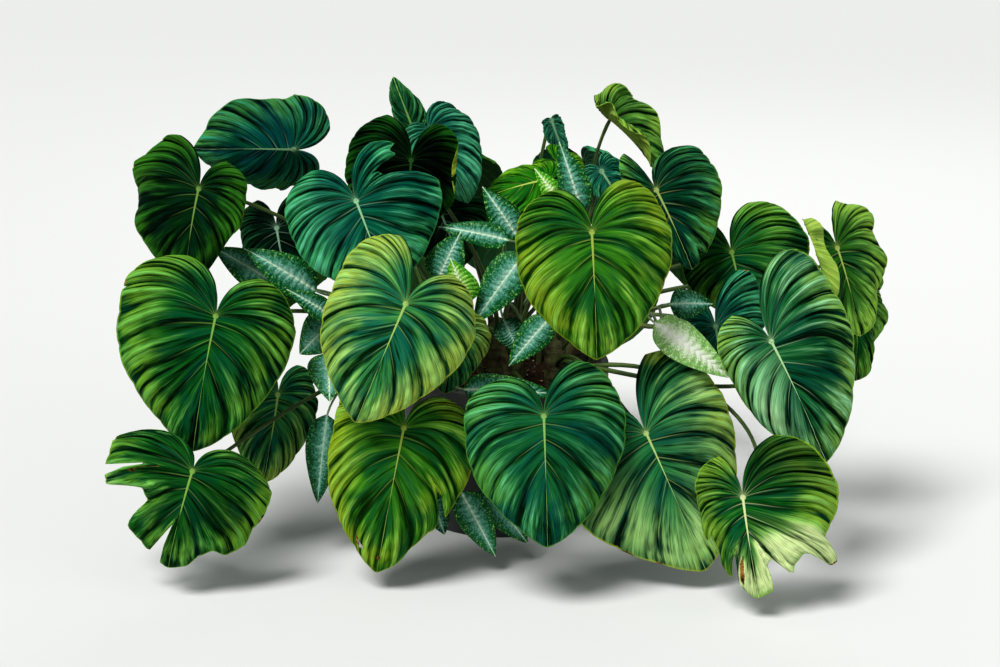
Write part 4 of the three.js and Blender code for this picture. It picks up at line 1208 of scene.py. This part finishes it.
def centripetal(points, steps):
    """Evenly spaced points of the smooth curve through the given ones."""
    held = [2 * points[0] - points[1], *points, 2 * points[-1] - points[-2]]
    dense = []
    for i in range(len(points) - 1):
        a, b, c, d = held[i : i + 4]
        gaps = [max((q - p).length, 1e-6) ** 0.5 for p, q in ((a, b), (b, c), (c, d))]
        before, after = (c - a) / (gaps[0] + gaps[1]), (d - b) / (gaps[1] + gaps[2])
        start = ((b - a) / gaps[0] - before + (c - b) / gaps[1]) * gaps[1]
        end = ((c - b) / gaps[1] - after + (d - c) / gaps[2]) * gaps[1]
        square, cube = 3 * c - 3 * b - 2 * start - end, 2 * b - 2 * c + start + end
        for t in (k / CURVE_STEPS for k in range(CURVE_STEPS)):
            dense.append(b + start * t + square * t * t + cube * t**3)
    dense.append(points[-1])
    lengths = np.cumsum([0.0] + [(q - p).length for p, q in zip(dense, dense[1:])])
    wanted = np.linspace(0, lengths[-1], steps + 1)
    axes = [np.interp(wanted, lengths, [p[k] for p in dense]) for k in range(3)]
    return [Vector(p) for p in zip(*axes)]


def spear_leaf(bm, cane_path, leaf, settings):
    """A spear-shaped blade and the stalk that holds it to its cane."""
    for key in SPEAR_SIZES:
        setattr(leaf, key, getattr(settings, key))
    first_face = len(bm.faces)
    columns, rows = SPEAR_GRID
    under = add_blade(bm, leaf, SPEAR_FORM, columns * leaf.veins, rows)
    look = 2 * list(SPEAR_LOOKS).index(leaf.look)
    bm.faces.ensure_lookup_table()
    for face in bm.faces[first_face:]:
        face.material_index = look
    for face in under:
        face.material_index = look + 1
    back = blade_frame(leaf).col[1].xyz
    start = cane_path[round(leaf.start * CANE_STEPS)]
    seat = Vector(leaf.seat)
    leave = seat - start
    first = start + STALK_REACH * leave + Vector((0, 0, STALK_RISE * leave.length))
    second = seat + STALK_REACH * leave.length * back
    steps = SPEAR_STALK_STEPS
    path = bezier(start, first, second, seat - STALK_OVERLAP * back, steps)
    foot, neck = settings.stalk_foot, settings.stalk_neck
    radii = [foot + (neck - foot) * (i / steps) ** 0.5 for i in range(steps + 1)]
    radii[-1] *= STALK_POINT
    add_tube(bm, path, radii, SPEAR_STALK_SIDES, 2 * len(SPEAR_LOOKS) + 1)


class PLANT_OT_spotted_canes(bpy.types.Operator):
    """Builds each cane with its silver-marked leaves"""

    bl_idname = "plant.spotted_canes"
    bl_label = "Silver-marked canes"

    def execute(self, context):
        settings = context.scene.plant.spear
        materials = faces_of(SPEAR_LOOKS, settings, spear_upper, spear_under)
        materials.append(stalk_material("cane", settings.cane_light, settings.cane_dark))
        materials.append(stalk_material("spear_stalk", settings.stalk_light, settings.stalk_dark))
        foot, tip = settings.cane_foot, settings.cane_tip
        radii = [
            (1.0 if i % RING_EVERY else CANE_RING) * (foot + (tip - foot) * i / CANE_STEPS)
            for i in range(CANE_STEPS + 1)
        ]
        for number, (name, (way, *leaves)) in enumerate(CANES.items()):
            (x, y), *rest = metres(way)
            heights = (SOIL_TOP - CANE_DEPTH, SOIL_TOP - CANE_DEPTH / 2, SOIL_TOP + CANE_UPRIGHT)
            points = [Vector((x, y, z)) for z in heights] + [Vector(p) for p in rest]
            path = centripetal(points, CANE_STEPS)
            bm = new_bmesh()
            add_tube(bm, path, radii, CANE_SIDES, 2 * len(SPEAR_LOOKS))
            for order, leaf in enumerate(leaves):
                leaf.seed = CANE_SEED * number + LEAF_SEED * order
                spear_leaf(bm, path, leaf, settings)
            grown(bm, "spotted_cane_" + name, "spotted_leaf", "spotted_" + name, *materials)
        return {"FINISHED"}


# ---- Pot, soil and crowns ----

POT_STEPS, SOIL_STEPS, CROWN_STEPS = 128, 140, 32
SOIL_RINGS, CROWN_RINGS = 40, 44
# The ring that the pot stands on, how far its base is raised, and the steps beside its edges.
RING_INSIDE, RING_OUTSIDE, BASE_RAISED = 0.02, 0.016, 0.003
WALL_STEP, BAND_STEP, ROUND = 0.004, 0.001, 0.3
# How much narrower the soil is below, how far it drops at the wall, and its crumbs.
SOIL_TAPER, SOIL_DROP, SOIL_TOP_BAND = 0.03, 0.004, 0.002
CRUMB_HEIGHT, CRUMB_SINK, CRUMB_FINENESS = 0.004, 0.001, 70
# The chips: their share of perlite, sizes, tilt, roughness, height and distance from the wall.
PALE_SHARE = 0.3
PALE_CHIP, BARK_CHIP = (0.0022, 0.002, 0.0018), (0.005, 0.003, 0.0014)
CHIP_SCALES, CHIP_TILT, CHIP_ROUGH = (0.6, 1.3), 0.4, 0.0006
CHIP_LIFT, CHIP_MARGIN, CHIP_SEED = 0.0008, 0.008, 7
# The crowns: their scars, the share above which they taper, and how uneven they are.
CROWN_SCARS, SCAR_DEPTH, SCAR_EASE = 9, 0.0016, 0.4
CROWN_TAPER, TAPER_FROM = 0.45, 0.8
CROWN_INSET, CROWN_UNEVEN, UNEVEN_FINENESS = 0.001, 0.0012, 90


def turned(bm, profile, centre, steps):
    """A profile of radii and heights, spun round an upright axis into a closed shape."""
    verts = [bm.verts.new((centre[0] + r, centre[1], z)) for r, z in profile]
    edges = [bm.edges.new(pair) for pair in zip(verts, verts[1:])]
    whole = dict(angle=2 * math.pi, steps=steps, use_merge=True)
    bmesh.ops.spin(bm, geom=verts + edges, cent=(*centre[:2], 0), axis=(0, 0, 1), **whole)
    bmesh.ops.remove_doubles(bm, verts=bm.verts[:], dist=TUBE_WELD)
    bmesh.ops.recalc_face_normals(bm, faces=bm.faces[:])
    for face in bm.faces:
        face.smooth = True


class PLANT_OT_pot(bpy.types.Operator):
    """Builds the round pot with its rim band"""

    bl_idname = "plant.pot"
    bl_label = "Pot"

    def execute(self, context):
        settings = context.scene.plant.pot
        low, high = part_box("pot")
        rim, top = (high.x - low.x) / 2, high.z
        foot, edge = settings.foot, settings.edge
        band = top - settings.band_height

        def outer(z):
            return foot + (rim - settings.band_proud - foot) * z / top

        def inner(z):
            return outer(z) - settings.wall

        bulge = ROUND * edge
        profile = [
            (0, BASE_RAISED),
            (foot - RING_INSIDE, BASE_RAISED),
            (foot - RING_OUTSIDE, 0),
            (foot - edge, 0),
            (foot - bulge, bulge),
            (outer(edge), edge),
            (outer(WALL_STEP), WALL_STEP),
            (outer(band - WALL_STEP), band - WALL_STEP),
            (outer(band) + bulge, band - BAND_STEP),
            (rim - edge, band + BAND_STEP),
            (rim - bulge, band + 0.4 * edge + BAND_STEP),
            (rim, band + edge + BAND_STEP),
            (rim, top - edge),
            (rim - bulge, top - bulge),
            (rim - edge, top),
            (inner(top) + edge, top),
            (inner(top) + bulge, top - bulge),
            (inner(top), top - edge),
            (inner(settings.floor), settings.floor),
            (0, settings.floor),
        ]
        bm = bmesh.new()
        turned(bm, profile, (0, 0), POT_STEPS)
        grown(bm, "plant_pot", "pot", "pot", pot_material(settings))
        return {"FINISHED"}


class PLANT_OT_soil(bpy.types.Operator):
    """Builds the soil, with bark chips and perlite lying on it"""

    bl_idname = "plant.soil"
    bl_label = "Soil"

    def execute(self, context):
        settings = context.scene.plant.pot
        low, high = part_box("soil")
        radius = (high.x - low.x) / 2
        mound = settings.mound

        def top(r):
            return high.z - mound * (r / radius) ** 2

        wall_top = high.z - mound
        profile = [(0, low.z), (radius - SOIL_TAPER, low.z), (radius, wall_top - SOIL_DROP)]
        for i in range(1, SOIL_RINGS + 1):
            r = radius * (1 - i / SOIL_RINGS)
            profile.append((r, top(r)))
        bm = bmesh.new()
        turned(bm, profile, (0, 0), SOIL_STEPS)
        for vert in bm.verts:
            if vert.co.z > wall_top - SOIL_TOP_BAND:
                crumbs = noise.fractal(vert.co * CRUMB_FINENESS, 1, 2, 3)
                vert.co.z += CRUMB_HEIGHT * crumbs - CRUMB_SINK
        draw = random.Random(CHIP_SEED)
        for _ in range(settings.chips):
            r = (radius - CHIP_MARGIN) * math.sqrt(draw.random())
            angle = draw.uniform(0, 2 * math.pi)
            pale = draw.random() < PALE_SHARE
            by = draw.uniform(*CHIP_SCALES)
            scale = Matrix.Diagonal((*(by * s for s in (PALE_CHIP if pale else BARK_CHIP)), 1))
            turn = Matrix.Rotation(draw.uniform(0, math.pi), 4, "Z")
            turn = turn @ Matrix.Rotation(draw.uniform(-CHIP_TILT, CHIP_TILT), 4, "X")
            place = (r * math.cos(angle), r * math.sin(angle), top(r) + CHIP_LIFT)
            matrix = Matrix.Translation(place) @ turn @ scale
            made = bmesh.ops.create_icosphere(bm, subdivisions=1, radius=1, matrix=matrix)["verts"]
            for vert in made:
                vert.co += CHIP_ROUGH * Vector([draw.uniform(-1, 1) for _ in range(3)])
            for face in {f for v in made for f in v.link_faces}:
                face.material_index = 2 if pale else 1
        bark, perlite = chip_material("bark_chip", *BARK), chip_material("perlite", *PERLITE)
        grown(bm, "soil_top", "soil", "soil", soil_material(settings), bark, perlite)
        return {"FINISHED"}


class PLANT_OT_crowns(bpy.types.Operator):
    """Builds the scarred crowns that the ribbed leaves grow from"""

    bl_idname = "plant.crowns"
    bl_label = "Crowns"

    def execute(self, context):
        settings = context.scene.plant.pot
        material = crown_material(settings)
        for node in sorted(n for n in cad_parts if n.startswith("crown_")):
            low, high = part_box(node)
            centre = (low + high) / 2
            radius = (high.x - low.x) / 2 - CROWN_INSET
            profile = [(0, low.z)]
            for t in (i / CROWN_RINGS for i in range(CROWN_RINGS + 1)):
                taper = 1 - CROWN_TAPER * max(0, (t - TAPER_FROM) / (1 - TAPER_FROM)) ** 2
                scar = SCAR_DEPTH * abs(math.sin(math.pi * t * CROWN_SCARS)) ** SCAR_EASE
                width = (radius - SCAR_DEPTH + scar) * taper
                profile.append((width, low.z + t * (high.z - low.z - 2 * CROWN_INSET)))
            profile.append((0, high.z - CROWN_INSET))
            bm = bmesh.new()
            turned(bm, profile, centre, CROWN_STEPS)
            for vert in bm.verts:
                away = Vector((vert.co.x - centre.x, vert.co.y - centre.y, 0))
                if away.length > 1e-4:
                    uneven = CROWN_UNEVEN * noise.noise(vert.co * UNEVEN_FINENESS)
                    vert.co += away.normalized() * uneven
            grown(bm, "scarred_" + node, "crown", node, material)
        return {"FINISHED"}


# ---- Stage ----

KEY_SOFTNESS = math.radians(24)
KEY_WAY = (1.0, 1.35, -2.6)
# Each soft light's place, its power in fills and its width.
SOFT_LIGHTS = {
    "fill_light": ((3.6, -2.8, 2.6), 1.8, 3.2),
    "rim_light": ((0.8, 2.8, 2.6), 1.0, 1.8),
}
SKY_COLOUR = (0.93, 0.97, 1.0, 1)
LENS, SENSOR = 80, 36


def facing(way):
    """The turn of a light or a camera that looks a given way."""
    return Vector(way).to_track_quat("-Z", "Y").to_euler()


class PLANT_OT_stage(bpy.types.Operator):
    """Builds the pale floor, the soft lights and the camera"""

    bl_idname = "plant.stage"
    bl_label = "Stage"

    def execute(self, context):
        settings = context.scene.plant.stage
        bm = bmesh.new()
        bmesh.ops.create_grid(bm, x_segments=1, y_segments=1, size=settings.floor_size)
        finished(bm, "floor", floor_material(settings))
        aim = Vector((0, 0, settings.aim))
        key = bpy.data.lights.new("key_light", "SUN")
        key.energy = settings.key
        key.angle = KEY_SOFTNESS
        placed("key_light", key).rotation_euler = facing(KEY_WAY)
        for name, (place, power, width) in SOFT_LIGHTS.items():
            data = bpy.data.lights.new(name, "AREA")
            data.energy = settings.fill * power
            data.size = width
            lamp = placed(name, data)
            lamp.location = place
            lamp.rotation_euler = facing(aim - Vector(place))
        world = bpy.data.worlds.new("sky")
        world.use_nodes = True
        context.scene.world = world
        sky = world.node_tree.nodes["Background"].inputs
        sky["Color"].default_value = SKY_COLOUR
        sky["Strength"].default_value = settings.sky
        lens = bpy.data.cameras.new("camera")
        lens.lens = LENS
        lens.sensor_width = SENSOR
        camera = placed("camera", lens)
        rise = Vector((0, -math.cos(settings.elevation), math.sin(settings.elevation)))
        camera.location = aim + settings.distance * rise
        camera.rotation_euler = facing(-rise)
        context.scene.camera = camera
        context.scene.view_settings.view_transform = "Standard"
        context.scene.view_settings.look = "Medium High Contrast"
        return {"FINISHED"}


# ---- Panel and main ----


class PLANT_PT_panel(bpy.types.Panel):
    """Lists the plant's operators and settings."""

    bl_idname = "PLANT_PT_panel"
    bl_label = "Potted plant"
    bl_space_type = "VIEW_3D"
    bl_region_type = "UI"
    bl_category = "Plant"

    def draw(self, context):
        for operator in OPERATORS:
            self.layout.operator(operator.bl_idname)
        for group in ("heart", "spear", "pot", "stage"):
            held = getattr(context.scene.plant, group)
            box = self.layout.box()
            for key in held.bl_rna.properties.keys():
                if key not in ("rna_type", "name"):
                    box.prop(held, key)


OPERATORS = (
    PLANT_OT_stage,
    PLANT_OT_pot,
    PLANT_OT_soil,
    PLANT_OT_crowns,
    PLANT_OT_heart_leaves,
    PLANT_OT_spotted_canes,
)
GROUPS = (PLANT_PG_heart, PLANT_PG_spear, PLANT_PG_pot, PLANT_PG_stage, PLANT_PG_settings)
CLASSES = (
    *HEART_GROUPS.values(), *SPEAR_GROUPS.values(), *GROUPS, *OPERATORS, PLANT_PT_panel
)


def register():
    for each in CLASSES:
        bpy.utils.register_class(each)
    bpy.types.Scene.plant = PointerProperty(type=PLANT_PG_settings)


def unregister():
    del bpy.types.Scene.plant
    for each in reversed(CLASSES):
        bpy.utils.unregister_class(each)


def main():
    register()
    for operator in OPERATORS:
        group, name = operator.bl_idname.split(".")
        getattr(getattr(bpy.ops, group), name)()


if __name__ == "__main__":
    main()
